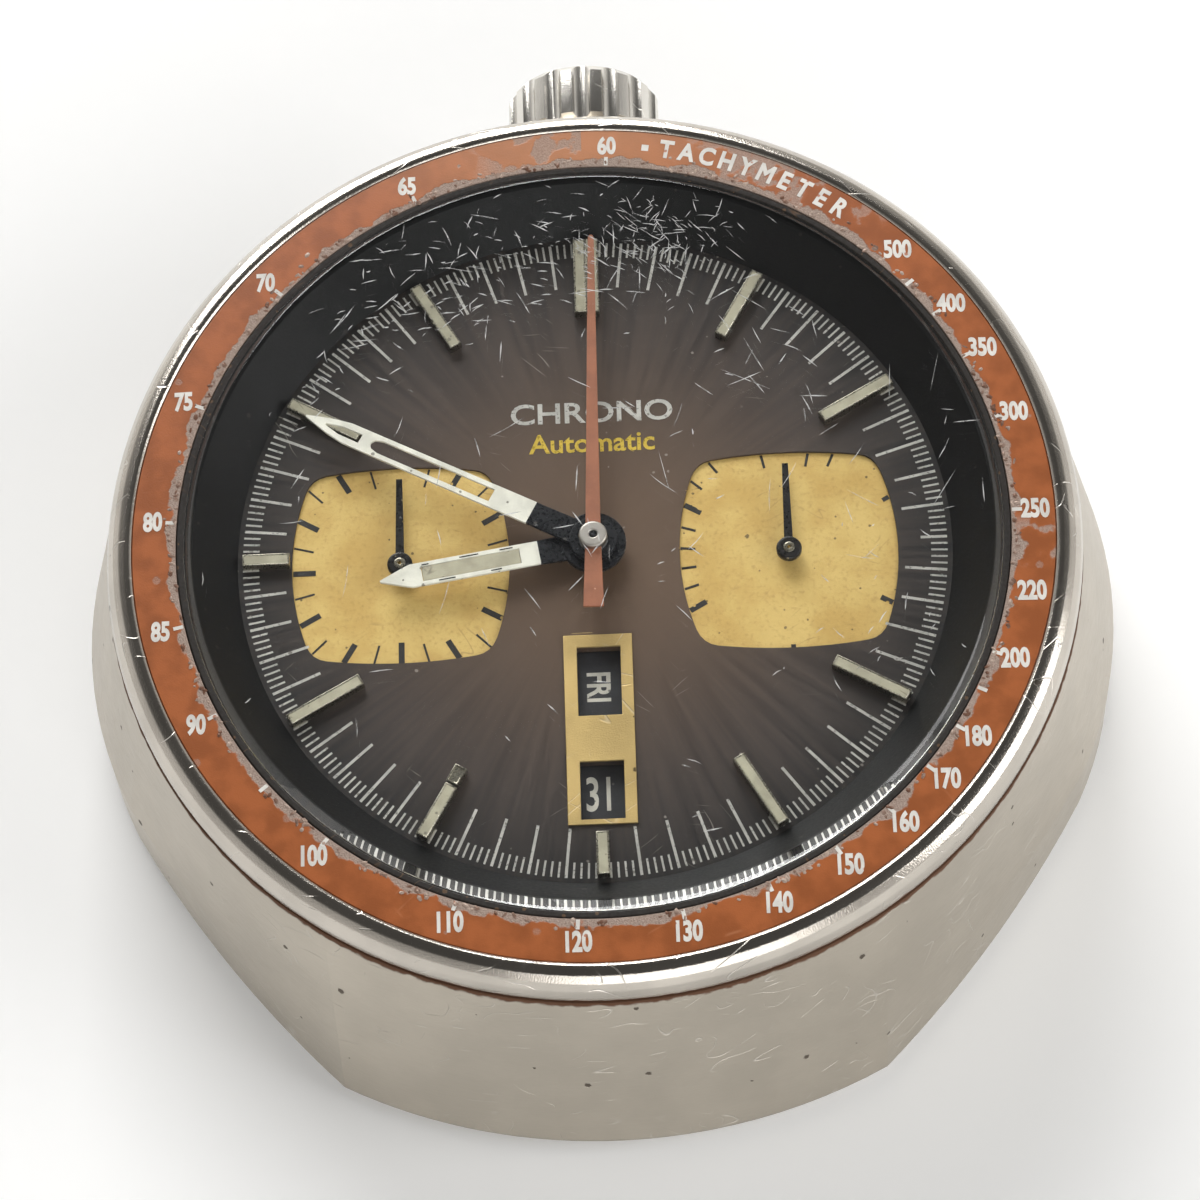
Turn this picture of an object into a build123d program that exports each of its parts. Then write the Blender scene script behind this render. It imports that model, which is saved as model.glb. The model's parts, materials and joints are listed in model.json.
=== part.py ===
from build123d import *
import os
from math import atan2, cos, degrees, radians, sin, sqrt

# A wrist chronograph head: a cushion-shaped case with a turned-down tachymeter bezel, a dial with two
# recorders and a day-date window, and the movement inside. Millimetres.
#
# Two frames are used. The dial frame has its origin where the hands' axis meets the dial's top, +Z towards
# the crystal, +Y towards 12. The row frame has its origin at the centre of the case back's outer face, +Z up.
# The dial leans back by DIAL_TILT about X, so the case is thicker at 12 than at 6.

# ---- driving dimensions ----
DIAL_TILT = 6.0            # lean of the dial and movement over the case back, degrees
DIAL_HEIGHT = 11.56        # from the case back's outer face to the dial, along the hands' axis

BEZEL_R = 20.25            # outer radius of the bezel
CASE_TOP_Z = 0.9           # top of the case, above the dial
CASE_WAIST_Z = -6.6        # where the corner flats turn upright
CASE_FOOT_Z = -DIAL_HEIGHT - 2.44   # below the case's underside, where the walls are cut off
FRONT_FLARE = 0.285        # how far the 6 o'clock wall moves out for each millimetre down
CREASE_X = 11.3            # half-distance between the two creases at 6 and at 12
SIDE_R = BEZEL_R + 1.75    # half-width across 3 and 9
BACK_R = BEZEL_R + 0.85    # radius of the 12 o'clock wall at the waist
BACK_FOOT_R = BACK_R + 0.4     # the same at the foot
FLAT_CORNER_Y = 7.9        # where a corner flat meets the side
FLAT_INSET = 1.8           # how far that corner is inside the half-width
FLAT_BULGE = 0.45          # how much a corner flat swells at its middle
UNDERSIDE_Z = 0.8          # the case's underside, over the case back's outer face, row frame

CRYSTAL_R = 16.95
CRYSTAL_Z = (1.9, 2.85)
CRYSTAL_BEVEL = 0.35
GASKET_WALL = 0.3
INSERT_R = (CRYSTAL_R + GASKET_WALL + 0.02, BEZEL_R - 1.15)
INSERT_SEAT_Z = 1.9
INSERT_TOP_Z = (2.53, 2.42)   # at its inner and its outer edge
BEZEL_LIP_R = BEZEL_R - 0.6
BEZEL_LIP_Z = 2.5
BEZEL_EDGE_Z = 1.6
BEZEL_GAP = 0.15           # height of the slot under the bezel's rim
BEZEL_GAP_DEPTH = 0.35

FLANGE_TOP_R = CRYSTAL_R - 0.35
FLANGE_R = FLANGE_TOP_R - 1.7    # inner radius of the sloping flange ring, at the dial
DIAL_R = 15.6
DIAL_THICK = 0.4
SEAT_CLEARANCE = 0.05      # radial play of the dial, rings and case back in their seats

MARKER_R = (11.25, FLANGE_R - 0.22)  # an hour marker's inner and outer ends
MARKER_W = 0.53
MARKER_H = 0.45
TWELVE_W = 1.05
SIX_INNER_R = MARKER_R[1] - 1.87
NINE_INNER_R = MARKER_R[1] - 1.97
RECORDER = (8.1, -0.47)    # axis of the 3 o'clock recorder; the other is its mirror image
RECORDER_CENTRE_Y = -0.28
RECORDER_DEPTH = 0.12
FRAME_BOX = (-1.4, 1.45, -12.37, -3.9)  # calendar frame: low x, high x, low y, high y
DAY_BOX = (-0.85, 0.95, -7.55, -4.46)
DATE_BOX = (-0.85, 0.95, -12.15, -9.59)

MINUTE_CLOCK = 298.0       # where the hands point, degrees clockwise from 12
HOUR_CLOCK = 261.0
CHRONO_CLOCK = 1.1
MINUTE_TIP_R = FLANGE_R - 1.3
HOUR_TIP_R = 9.05
CHRONO_TIP_R = FLANGE_R - 0.54
CHRONO_TAIL_R = 3.23
RECORDER_HAND_R = 4.0

RING_R = DIAL_R + SEAT_CLEARANCE   # outer radius of the movement ring
MOVEMENT_R = 13.7
RING_Z = -6.5
PLATE_Z = (-2.9, -0.95)
TRAIN_Z = (-5.7, -5.3)     # train bridge
CHRONO_Z = (-7.2, -6.9)    # chronograph bridge
TRAIN_R = 12.9
RUN = 0.03                 # radial play of an arbor in its hole
CALENDAR_Z = (-0.85, -0.55)
DAY_R = 7.6
DATE_R = (8.75, 13.1)

CROWN_R = 3.35
CROWN_Y = (BACK_R + 0.2, BACK_R + 3.1)   # the crown's inner and outer faces
CROWN_Z = -3.4
CROWN_BORE_DEPTH = 1.5     # the crown's skirt slides over the tube this deep
GROOVE = 0.2               # radial room between tube and skirt, which the gasket fills
CROWN_FLUTES = 16
CROWN_PULL = 1.2           # travel of the crown to the hand-setting position
STEM_R = 0.5
TUBE_R = (0.75, 1.15)

PUSHER_AZIMUTH = (60.0, 120.0)   # start, reset
PUSHER_Z = -5.2
PUSHER_R = 1.9
PUSHER_OUT = SIDE_R + 0.2  # outer end of a pusher's cap
CAP_FLOOR_R = PUSHER_OUT - 3.6   # bottom of a pusher's recess
TUBE_IN_R = 15.9           # inner end of a tube, in the case wall
PUSHER_TRAVEL = 1.0
PUSHER_STEM_R = 0.6

BACK_SPIGOT_R = RING_R + 0.1
BACK_FLANGE_R = BACK_SPIGOT_R + 0.65
BACK_THICK = 1.3
BACK_SPIGOT_Z = 2.9
STRAP_SLOT_W = 18.0
STRAP_SLOT_Y = (16.8, 18.6)
STRAP_SLOT_DEPTH = 4.0
STRAP_BAR_R = 0.5
STRAP_BAR_Z = 2.4
STRAP_BAR_DEPTH = {-1: 1.5, 1: 1.2}   # of the bar's holes, at 6 and at 12

ROTOR_R = 13.1

tilt = Rot(DIAL_TILT, 0, 0) * Pos(0, 0, DIAL_HEIGHT)

os.makedirs("parts", exist_ok=True)


# ---- helpers ----
def rod(r, z0, z1, x=0, y=0):
    """A round bar along Z."""
    return Pos(x, y, (z0 + z1) / 2) * Cylinder(r, abs(z1 - z0))


def ring(r_in, r_out, z0, z1, x=0, y=0):
    return rod(r_out, z0, z1, x, y) - rod(r_in, z0, z1, x, y)


def block(x0, x1, y0, y1, z0, z1):
    return Pos((x0 + x1) / 2, (y0 + y1) / 2, (z0 + z1) / 2) * Box(x1 - x0, y1 - y0, abs(z1 - z0))


def slab(face, z0, z1):
    return extrude(Pos(0, 0, z0) * face, amount=z1 - z0, dir=(0, 0, 1))


def turned(points):
    """A solid of revolution about Z from (radius, z) points."""
    return revolve(make_face(Polyline(*[(r, 0, z) for r, z in points], close=True)), Axis.Z)


def polygon(*points):
    return make_face(Polyline(*points, close=True))


def radial(azimuth, r, z):
    """A place on the case wall whose local Z points outwards."""
    out = (cos(radians(azimuth)), sin(radians(azimuth)), 0)
    return Plane(origin=(out[0] * r, out[1] * r, z), x_dir=(-out[1], out[0], 0), z_dir=out).location


def at_polar(r, azimuth, start=(0, 0)):
    return (start[0] + r * cos(radians(azimuth)), start[1] + r * sin(radians(azimuth)))


def spiral_band(r0, r1, turns, width, z0, z1, x=0, y=0):
    """A flat spiral spring, one leaf thick."""
    steps = int(turns * 12)

    def edge(offset):
        return Spline(*[at_polar(r0 + offset + (r1 - r0) * n / steps, 30 * n) for n in range(steps + 1)])

    inner, outer = edge(-width / 2), edge(width / 2)
    ends = [Line(inner @ 0, outer @ 0), Line(inner @ 1, outer @ 1)]
    return Pos(x, y, 0) * slab(make_face([inner, outer, *ends]), z0, z1)


def coil_spring(r, wire_r, turns, length):
    path = Helix(pitch=length / turns, height=length, radius=r)
    return sweep(Plane(origin=path @ 0, z_dir=path % 0) * Circle(wire_r), path=path, is_frenet=True)


def gear(teeth, module, z0, z1, phase=0.0, bore=0.0, arms=0, rise=1.0):
    """A toothed wheel with a tooth centred on the direction phase. Its teeth leave backlash on each side."""
    pitch_r = module * teeth / 2
    tip, root, step = pitch_r + rise * module * 0.95, pitch_r - 1.25 * module, 360 / teeth
    points = []
    for n in range(teeth):
        middle = phase + n * step
        for r, share in ((root, -0.27), (tip, -0.10), (tip, 0.10), (root, 0.27)):
            points.append(at_polar(r, middle + share * step))
    wheel = slab(polygon(*points), z0, z1)
    for n in range(arms):
        wheel -= rod(0.27 * root, z0, z1, *at_polar(0.60 * root, 45 + n * 360 / arms))
    if bore:
        wheel -= rod(bore, z0, z1)
    return wheel


def bearing(place, towards):
    """Direction in degrees from one axis to another."""
    return degrees(atan2(towards[1] - place[1], towards[0] - place[0]))


def keep(name, solids, frame=tilt):
    """Writes one node's solids in the row frame."""
    solids = solids if isinstance(solids, list) else [solids]
    placed = [part for shape in solids for part in (frame * shape).solids()]
    export_step(placed[0] if len(placed) == 1 else Compound(placed), f"parts/{name}.step")
    print(f"{name}: {len(placed)} solids, {sum(p.volume for p in placed):.2f} mm3")


# ---- train layout: each wheel's axis is worked out from its modules ----
CENTRE_T, THIRD_T, FOURTH_T, BARREL_T, ESCAPE_T = 64, 60, 72, 80, 20
LEAVES, CENTRE_LEAVES = 8, 12
M_BARREL, M_CENTRE, M_THIRD, M_FOURTH, M_MOTION, M_HOUR = 0.15, 0.14, 0.12, 0.10, 0.15, 0.144
MINUTE_WHEEL_T, MINUTE_LEAVES, HOUR_T = 36, 10, 40
centre = (0.0, 0.0)
barrel = (0.0, -M_BARREL * (BARREL_T + CENTRE_LEAVES) / 2)
third = at_polar(M_CENTRE * (CENTRE_T + LEAVES) / 2, 150)
fourth = at_polar(M_THIRD * (THIRD_T + LEAVES) / 2, 80, third)
escape = at_polar(M_FOURTH * (FOURTH_T + LEAVES) / 2, -9.9, fourth)
balance = (5.8, 5.2)
fork = at_polar(2.95, bearing(escape, balance), escape)
motion = at_polar(M_MOTION * (CENTRE_LEAVES + MINUTE_WHEEL_T) / 2, 45)
ESCAPE_R = 2.2
BALANCE_R = 3.8
cock_foot = at_polar(4.9, 60, balance)
column = (0.0, 8.6)
pillars = [(9.3, -6.9), (-9.3, -6.9), (-10.6, 3.6), (2.9, 10.9)]
PILLAR_R = 0.9
SCREW_R = 0.35
CHRONO_ARBOR_R = 0.2
CENTRE_ARBOR_R = 0.4
CANNON_R = (0.42, 0.60)
HOUR_PIPE_R = (0.63, 0.85)
PIVOT_R = 0.15


def meshing(a, b, leaves):
    """Phases of a wheel at a and of its pinion at b, so that a tooth stands in a gap."""
    along = bearing(a, b)
    return along, along + 180 + 180 / leaves


# ---- case ----
def case_level(z, front_r, side_r, back_r, round_top=False):
    """One level of the case's outline: eight edges, from the 6 o'clock wall anticlockwise."""
    front_y = sqrt(front_r**2 - CREASE_X**2)
    back_y = sqrt(back_r**2 - CREASE_X**2)
    fx, fy = SIDE_R - FLAT_INSET, FLAT_CORNER_Y
    ends = [(-CREASE_X, -front_y), (CREASE_X, -front_y), (fx, -fy), (fx, fy),
            (CREASE_X, back_y), (-CREASE_X, back_y), (-fx, fy), (-fx, -fy)]
    if round_top:
        ends = [at_polar(BEZEL_R, bearing(centre, p)) for p in ends]
    edges = []
    for n, start in enumerate(ends):
        end = ends[(n + 1) % 8]
        middle = ((start[0] + end[0]) / 2, (start[1] + end[1]) / 2)
        r = sqrt(middle[0]**2 + middle[1]**2)
        reach = {0: front_r, 2: side_r, 4: back_r, 6: side_r}.get(n, r + FLAT_BULGE)
        if round_top:
            reach = BEZEL_R
        through = at_polar(reach, bearing(centre, middle))
        edges.append(ThreePointArc((*start, z), (*through, z), (*end, z)))
    return Face(Wire(edges))


def front_r(z):
    return BEZEL_R + FRONT_FLARE * (CASE_TOP_Z - z)


def cavity_tools():
    """Everything that the case is bored out for, in the dial frame."""
    tools = rod(DIAL_R + 2 * SEAT_CLEARANCE, CASE_FOOT_Z, 0)
    tools += rod(CRYSTAL_R + GASKET_WALL, -0.001, CASE_TOP_Z)
    tools += radial(90, 0, CROWN_Z) * rod(TUBE_R[1], MOVEMENT_R, CROWN_Y[1])
    for azimuth in PUSHER_AZIMUTH:
        tools += radial(azimuth, 0, PUSHER_Z) * rod(TUBE_R[1], MOVEMENT_R, PUSHER_OUT)
        tools += radial(azimuth, 0, PUSHER_Z) * rod(PUSHER_R + 0.06, CAP_FLOOR_R, PUSHER_OUT + 4)
    return tools


def make_mid_case():
    top = case_level(CASE_TOP_Z, BEZEL_R, BEZEL_R, BEZEL_R, round_top=True)
    waist = case_level(CASE_WAIST_Z, front_r(CASE_WAIST_Z), SIDE_R, BACK_R)
    foot = case_level(CASE_FOOT_Z, front_r(CASE_FOOT_Z), SIDE_R, BACK_FOOT_R)
    body = loft([waist, top], ruled=True) + loft([foot, waist], ruled=True)
    body = tilt * (body - cavity_tools())
    body -= rod(40, -10, UNDERSIDE_Z)
    body -= rod(BACK_SPIGOT_R + SEAT_CLEARANCE, UNDERSIDE_Z, BACK_SPIGOT_Z + 0.2)
    half = STRAP_SLOT_W / 2
    for side in (-1, 1):
        y0, y1 = sorted(side * y for y in STRAP_SLOT_Y)
        body -= block(-half, half, y0, y1, UNDERSIDE_Z, UNDERSIDE_Z + STRAP_SLOT_DEPTH)
        bar = Pos(0, (y0 + y1) / 2, STRAP_BAR_Z) * Rot(0, 90, 0)
        body -= bar * Cylinder(STRAP_BAR_R, STRAP_SLOT_W + 2 * STRAP_BAR_DEPTH[side])
    return body


keep("mid_case", make_mid_case(), Location())

bezel_in = CRYSTAL_R + GASKET_WALL
keep("bezel_ring", turned([
    (bezel_in, CASE_TOP_Z), (BEZEL_R - BEZEL_GAP_DEPTH, CASE_TOP_Z),
    (BEZEL_R - BEZEL_GAP_DEPTH, CASE_TOP_Z + BEZEL_GAP), (BEZEL_R, CASE_TOP_Z + BEZEL_GAP),
    (BEZEL_R, BEZEL_EDGE_Z), (BEZEL_LIP_R, BEZEL_LIP_Z), (INSERT_R[1], BEZEL_LIP_Z),
    (INSERT_R[1], INSERT_SEAT_Z), (bezel_in, INSERT_SEAT_Z)]))
keep("tachymeter_insert", turned([
    (INSERT_R[0], INSERT_SEAT_Z), (INSERT_R[1], INSERT_SEAT_Z),
    (INSERT_R[1], INSERT_TOP_Z[1]), (INSERT_R[0], INSERT_TOP_Z[0])]))
keep("crystal", turned([
    (0, CRYSTAL_Z[0]), (CRYSTAL_R, CRYSTAL_Z[0]), (CRYSTAL_R, CRYSTAL_Z[1] - CRYSTAL_BEVEL),
    (CRYSTAL_R - CRYSTAL_BEVEL, CRYSTAL_Z[1]), (0, CRYSTAL_Z[1])]))
keep("crystal_gasket", ring(CRYSTAL_R, bezel_in, CASE_TOP_Z + 0.1, CRYSTAL_Z[1] - CRYSTAL_BEVEL))
flange_out = CRYSTAL_R + GASKET_WALL - SEAT_CLEARANCE
keep("flange_ring", turned([
    (FLANGE_R, 0), (flange_out, 0), (flange_out, CASE_TOP_Z), (CRYSTAL_R - SEAT_CLEARANCE, CASE_TOP_Z),
    (CRYSTAL_R - SEAT_CLEARANCE, CRYSTAL_Z[0]), (FLANGE_TOP_R, CRYSTAL_Z[0])]))


def make_case_back():
    groove = (BACK_SPIGOT_R + 0.1, BACK_SPIGOT_R + 0.4)
    cover = rod(BACK_FLANGE_R, 0, UNDERSIDE_Z) + rod(BACK_SPIGOT_R, 0, BACK_SPIGOT_Z)
    cover -= rod(BACK_SPIGOT_R - 0.75, BACK_THICK, BACK_SPIGOT_Z)
    cover -= ring(*groove, UNDERSIDE_Z - 0.25, UNDERSIDE_Z)
    for n in range(6):
        cover -= Rot(0, 0, 60 * n) * block(BACK_FLANGE_R - 0.5, BACK_FLANGE_R + 1, -1.5, 1.5, 0, 0.45)
    return cover, ring(*groove, UNDERSIDE_Z - 0.25, UNDERSIDE_Z)


case_back, back_gasket = make_case_back()
keep("case_back", case_back, Location())
keep("case_back_gasket", back_gasket, Location())

movement_ring = ring(MOVEMENT_R + SEAT_CLEARANCE, RING_R, RING_Z, -DIAL_THICK)
movement_ring -= radial(90, 0, CROWN_Z) * rod(0.8, MOVEMENT_R - 1, RING_R + 1)
for azimuth in PUSHER_AZIMUTH:
    movement_ring -= radial(azimuth, 0, PUSHER_Z) * rod(0.8, MOVEMENT_R - 1, RING_R + 1)
keep("movement_ring", movement_ring)

keep("crown_tube", radial(90, 0, CROWN_Z) * ring(*TUBE_R, RING_R, CROWN_Y[0] + 0.55))
pusher_tube = ring(PUSHER_STEM_R + RUN, TUBE_R[1], TUBE_IN_R, CAP_FLOOR_R)
keep("pusher_tubes", [radial(azimuth, 0, PUSHER_Z) * pusher_tube for azimuth in PUSHER_AZIMUTH])


# ---- dial ----
def recorder_face(side):
    """A recorder's outline: a square with swelling sides and small round corners."""
    corner, reach = (3.72, 4.20), (4.55, 4.52)
    signs = [(1, 1), (-1, 1), (-1, -1), (1, -1)]
    middles = [(0, reach[1]), (-reach[0], 0), (0, -reach[1]), (reach[0], 0)]
    edges = []
    for n in range(4):
        start = (corner[0] * signs[n][0], corner[1] * signs[n][1])
        after = signs[(n + 1) % 4]
        edges.append(ThreePointArc(start, middles[n], (corner[0] * after[0], corner[1] * after[1])))
    face = make_face(edges)
    return Pos(side * RECORDER[0], RECORDER_CENTRE_Y) * fillet(face.vertices(), 0.5)


def window(box, z0, z1):
    return block(box[0], box[1], box[2], box[3], z0, z1)


dial = rod(DIAL_R, -DIAL_THICK, 0) - rod(HOUR_PIPE_R[1] + 0.15, -DIAL_THICK, 0)
for side in (-1, 1):
    dial -= slab(recorder_face(side), -RECORDER_DEPTH, 0)
    dial -= rod(0.3, -DIAL_THICK, 0, side * RECORDER[0], RECORDER[1])
for box in (DAY_BOX, DATE_BOX):
    dial -= window(box, -DIAL_THICK, 0)
keep("dial", dial)
frame_plate = window(FRAME_BOX, 0, 0.12)
for box in (DAY_BOX, DATE_BOX):
    frame_plate -= window(box, 0, 0.12)
keep("calendar_frame", frame_plate)


def marker(hour):
    """One applied baton, at its hour. The marker at 3 is missing from this dial."""
    inner = {6: SIX_INNER_R, 9: NINE_INNER_R}.get(hour, MARKER_R[0])
    width = TWELVE_W if hour == 12 else MARKER_W
    baton = block(-width / 2, width / 2, inner, MARKER_R[1], 0, MARKER_H)
    baton = chamfer(baton.faces().sort_by(Axis.Z)[-1].edges(), 0.08)
    return Rot(0, 0, -30 * hour) * baton


keep("hour_markers", [marker(hour) for hour in range(1, 13) if hour != 3])


# ---- hands ----
def hand(outline, hub_r, bore, z0, z1, hub_z, clock, place=(0, 0)):
    """A hand cut from sheet, given its right-hand edge as (half-width, distance) pairs, with its hub."""
    left = [(-w, y) for w, y in reversed(outline)]
    blade = slab(polygon(*outline, *left), z0, z1) + rod(hub_r, hub_z[0], hub_z[1])
    return Pos(*place, 0) * Rot(0, 0, -clock) * (blade - rod(bore, -5, 5))


keep("minute_hand", hand([(0.62, 0), (0.52, 2.87), (0.45, MINUTE_TIP_R - 1.1), (0.04, MINUTE_TIP_R)],
                         1.0, CANNON_R[1], 0.95, 1.10, (0.92, 1.16), MINUTE_CLOCK))
keep("hour_hand", hand([(0.75, 0), (0.53, 2.29), (0.53, HOUR_TIP_R - 1.1), (0.04, HOUR_TIP_R)],
                       1.35, HOUR_PIPE_R[1], 0.68, 0.82, (0.60, 0.87), HOUR_CLOCK))
keep("chrono_seconds_hand", hand([(0.42, -CHRONO_TAIL_R), (0.32, 0), (0.09, CHRONO_TIP_R)],
                                 0.6, CHRONO_ARBOR_R, 1.28, 1.40, (1.22, 1.66), CHRONO_CLOCK))
for name, side in (("minute_recorder_hand", 1), ("hour_recorder_hand", -1)):
    keep(name, hand([(0.20, -1.1), (0.20, 0), (0.10, RECORDER_HAND_R)], 0.5, PIVOT_R, 0.32, 0.42,
                    (0.25, 0.62), 0, (side * RECORDER[0], RECORDER[1])))

# ---- calendar and motion work ----
keep("date_ring", ring(*DATE_R, *CALENDAR_Z))
keep("day_disc", ring(HOUR_PIPE_R[1] + 0.1, DAY_R, *CALENDAR_Z))
phase, pinion_phase = meshing(motion, centre, CENTRE_LEAVES)
keep("cannon_pinion", gear(CENTRE_LEAVES, M_MOTION, -2.02, -1.62, phase=pinion_phase, bore=CANNON_R[0])
     + ring(*CANNON_R, -1.62, 1.14))
minute_wheel = gear(MINUTE_WHEEL_T, M_MOTION, -1.95, -1.72, phase=phase, bore=PIVOT_R)
phase, pinion_phase = meshing(centre, motion, MINUTE_LEAVES)
minute_wheel += gear(MINUTE_LEAVES, M_HOUR, -1.72, -1.10, phase=pinion_phase, bore=PIVOT_R)
keep("minute_wheel", Pos(*motion, 0) * minute_wheel)
keep("hour_wheel", gear(HOUR_T, M_HOUR, -1.45, -1.22, phase=phase, bore=HOUR_PIPE_R[0])
     + ring(*HOUR_PIPE_R, -1.5, 0.85))

# ---- plates and bridges ----
sockets = rod(CENTRE_ARBOR_R + RUN, *PLATE_Z)
for place in (third, fourth, escape, fork, balance):
    sockets += rod(PIVOT_R + RUN, -3.2, -2.3, *place)
for side in (-1, 1):
    sockets += rod(PIVOT_R + RUN, *PLATE_Z, side * RECORDER[0], RECORDER[1])
for place in pillars + [cock_foot]:
    sockets += rod(SCREW_R, -3.2, -1.9, *place)
sockets += rod(0.8, -3.2, -2.5, *barrel)
sockets += rod(6.8, -2.1, 0) - rod(PIVOT_R - RUN, -2.1, -1.1, *motion)
sockets += Pos(0, 14, CROWN_Z) * Rot(90, 0, 0) * Cylinder(STEM_R + 0.12, 12)
sockets += block(-1.1, 1.1, 9.0, 11.9, -3.2, -2.3)
keep("main_plate", rod(MOVEMENT_R, *PLATE_Z) - sockets)

train_bridge = rod(TRAIN_R, *TRAIN_Z)
for place in pillars:
    train_bridge += rod(PILLAR_R, TRAIN_Z[0], PLATE_Z[0], *place)
for place in pillars:
    train_bridge -= rod(SCREW_R, TRAIN_Z[0], PLATE_Z[0], *place)
train_bridge -= rod(BALANCE_R + 0.9, -6, -5, *balance)
train_bridge -= Pos(*balance, -5.5) * Rot(0, 0, 45) * Pos(4, 0, 0) * Box(8, 8.4, 1)
for side in (-1, 1):
    train_bridge -= rod(1.6, -6, -5, side * 6.4, 11.3)
    train_bridge -= rod(PIVOT_R + RUN, -6, -5, side * RECORDER[0], RECORDER[1])
train_bridge -= rod(CENTRE_ARBOR_R + RUN, -6, -5) + rod(0.8 + RUN, -6, -5, *barrel)
JEWEL_R = 0.55
JEWEL_T = 0.25
train_jewels = [third, fourth, escape]
for place in train_jewels:
    train_bridge -= rod(JEWEL_R, TRAIN_Z[0], TRAIN_Z[0] + JEWEL_T, *place)
    train_bridge -= rod(PIVOT_R + RUN, -6, -5, *place)
keep("train_bridge", train_bridge)

COCK_Z = (-5.95, -5.60)
cock = rod(1.3, *COCK_Z, *balance) + rod(1.0, *COCK_Z, *cock_foot)
cock += Pos(*balance) * Rot(0, 0, 60) * block(0, 4.9, -0.75, 0.75, *COCK_Z)
cock += rod(0.75, COCK_Z[0], PLATE_Z[0], *cock_foot)
cock -= rod(SCREW_R, -7, PLATE_Z[0], *cock_foot) + rod(PIVOT_R + RUN, -7, -5, *balance)
cock -= rod(JEWEL_R, COCK_Z[0], COCK_Z[0] + 0.2, *balance)
keep("balance_cock", cock)

chrono_bridge = rod(MOVEMENT_R, *CHRONO_Z)
for place in pillars:
    chrono_bridge += rod(PILLAR_R, CHRONO_Z[1], TRAIN_Z[0], *place)
for place in pillars:
    chrono_bridge -= rod(SCREW_R, *CHRONO_Z, *place) + rod(SCREW_R, CHRONO_Z[1], TRAIN_Z[0], *place)
    chrono_bridge -= rod(0.75, CHRONO_Z[0], CHRONO_Z[0] + 0.25, *place)
for place in ((RECORDER[0], RECORDER[1]), (-RECORDER[0], RECORDER[1]), column):
    chrono_bridge -= rod(PIVOT_R + RUN, *CHRONO_Z, *place)
chrono_bridge -= rod(CHRONO_ARBOR_R + RUN, *CHRONO_Z)
keep("chronograph_bridge", chrono_bridge)


def screw(place, head_r, head_z, tip_z):
    """A slotted screw, its head towards the case back."""
    body = rod(head_r, *head_z) + rod(SCREW_R, head_z[1], tip_z)
    return Pos(*place, 0) * (body - block(-head_r, head_r, -0.08, 0.08, head_z[0], head_z[0] + 0.1))


keep("bridge_screws", [screw(p, 0.7, (CHRONO_Z[0], CHRONO_Z[0] + 0.25), -2.0) for p in pillars]
     + [screw(cock_foot, 0.6, (COCK_Z[0] - 0.2, COCK_Z[0]), -2.0)])
keep("jewels", [ring(PIVOT_R + RUN, JEWEL_R, TRAIN_Z[0], TRAIN_Z[0] + JEWEL_T, *p) for p in train_jewels]
     + [ring(PIVOT_R + RUN, JEWEL_R, COCK_Z[0], COCK_Z[0] + 0.2, *balance)])

# ---- going train ----
BARREL_TOP, BARREL_FLOOR = -3.6, -5.2
phase, pinion_phase = meshing(barrel, centre, CENTRE_LEAVES)
drum = gear(BARREL_T, M_BARREL, -4.0, BARREL_TOP, phase=phase, bore=0.85)
drum += ring(0.85, 5.5, BARREL_FLOOR, -4.0)
drum -= rod(5.2, BARREL_FLOOR, -3.85)
keep("mainspring_barrel", Pos(*barrel, 0) * drum)
keep("barrel_cover", ring(0.85, 5.2, BARREL_FLOOR, BARREL_FLOOR + 0.2, *barrel))
keep("mainspring", spiral_band(1.3, 4.9, 7, 0.18, -4.9, -3.95, *barrel))
keep("barrel_arbor", rod(0.8, -6.0, -2.6, *barrel))
ratchet = gear(50, M_BARREL, -5.96, -5.74, bore=0.8)
keep("ratchet_wheel", Pos(*barrel, 0) * ratchet)

centre_wheel = gear(CENTRE_LEAVES, M_BARREL, -4.1, -3.5, phase=pinion_phase)
phase, pinion_phase = meshing(centre, third, LEAVES)
centre_wheel += gear(CENTRE_T, M_CENTRE, -3.45, -3.20, phase=phase, arms=4)
centre_wheel += rod(CENTRE_ARBOR_R, -5.72, -1.2) + rod(0.7, -3.5, -3.0)
keep("centre_wheel", centre_wheel - rod(CHRONO_ARBOR_R + RUN, -6, 0))

third_wheel = gear(LEAVES, M_CENTRE, -3.6, -3.05, phase=pinion_phase, rise=0.8)
phase, pinion_phase = meshing(third, fourth, LEAVES)
third_wheel += gear(THIRD_T, M_THIRD, -4.0, -3.8, phase=phase, arms=4) + rod(0.5, -4.1, -3.6)
keep("third_wheel", Pos(*third, 0) * (third_wheel + rod(PIVOT_R, -5.65, -2.35)))

fourth_wheel = gear(LEAVES, M_THIRD, -4.1, -3.7, phase=pinion_phase, rise=0.8)
phase, pinion_phase = meshing(fourth, escape, LEAVES)
fourth_wheel += gear(FOURTH_T, M_FOURTH, -4.75, -4.55, phase=phase, arms=4) + rod(0.4, -4.8, -4.1)
keep("fourth_wheel", Pos(*fourth, 0) * (fourth_wheel + rod(PIVOT_R, -5.65, -2.35)))

escape_wheel = gear(LEAVES, M_FOURTH, -4.85, -4.4, phase=pinion_phase, rise=0.8)
teeth = []
for n in range(ESCAPE_T):
    middle = n * 360 / ESCAPE_T
    teeth += [at_polar(ESCAPE_R - 0.5, middle - 4), at_polar(ESCAPE_R, middle + 2),
              at_polar(ESCAPE_R, middle + 3.5), at_polar(ESCAPE_R - 0.5, middle + 4)]
escape_wheel += slab(polygon(*teeth), -4.3, -4.15) + rod(0.3, -4.4, -4.1)
for n in range(4):
    escape_wheel -= rod(0.42, -4.3, -4.15, *at_polar(1.0, 45 + 90 * n))
keep("escape_wheel", Pos(*escape, 0) * (escape_wheel + rod(PIVOT_R, -5.65, -2.35)))


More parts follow.
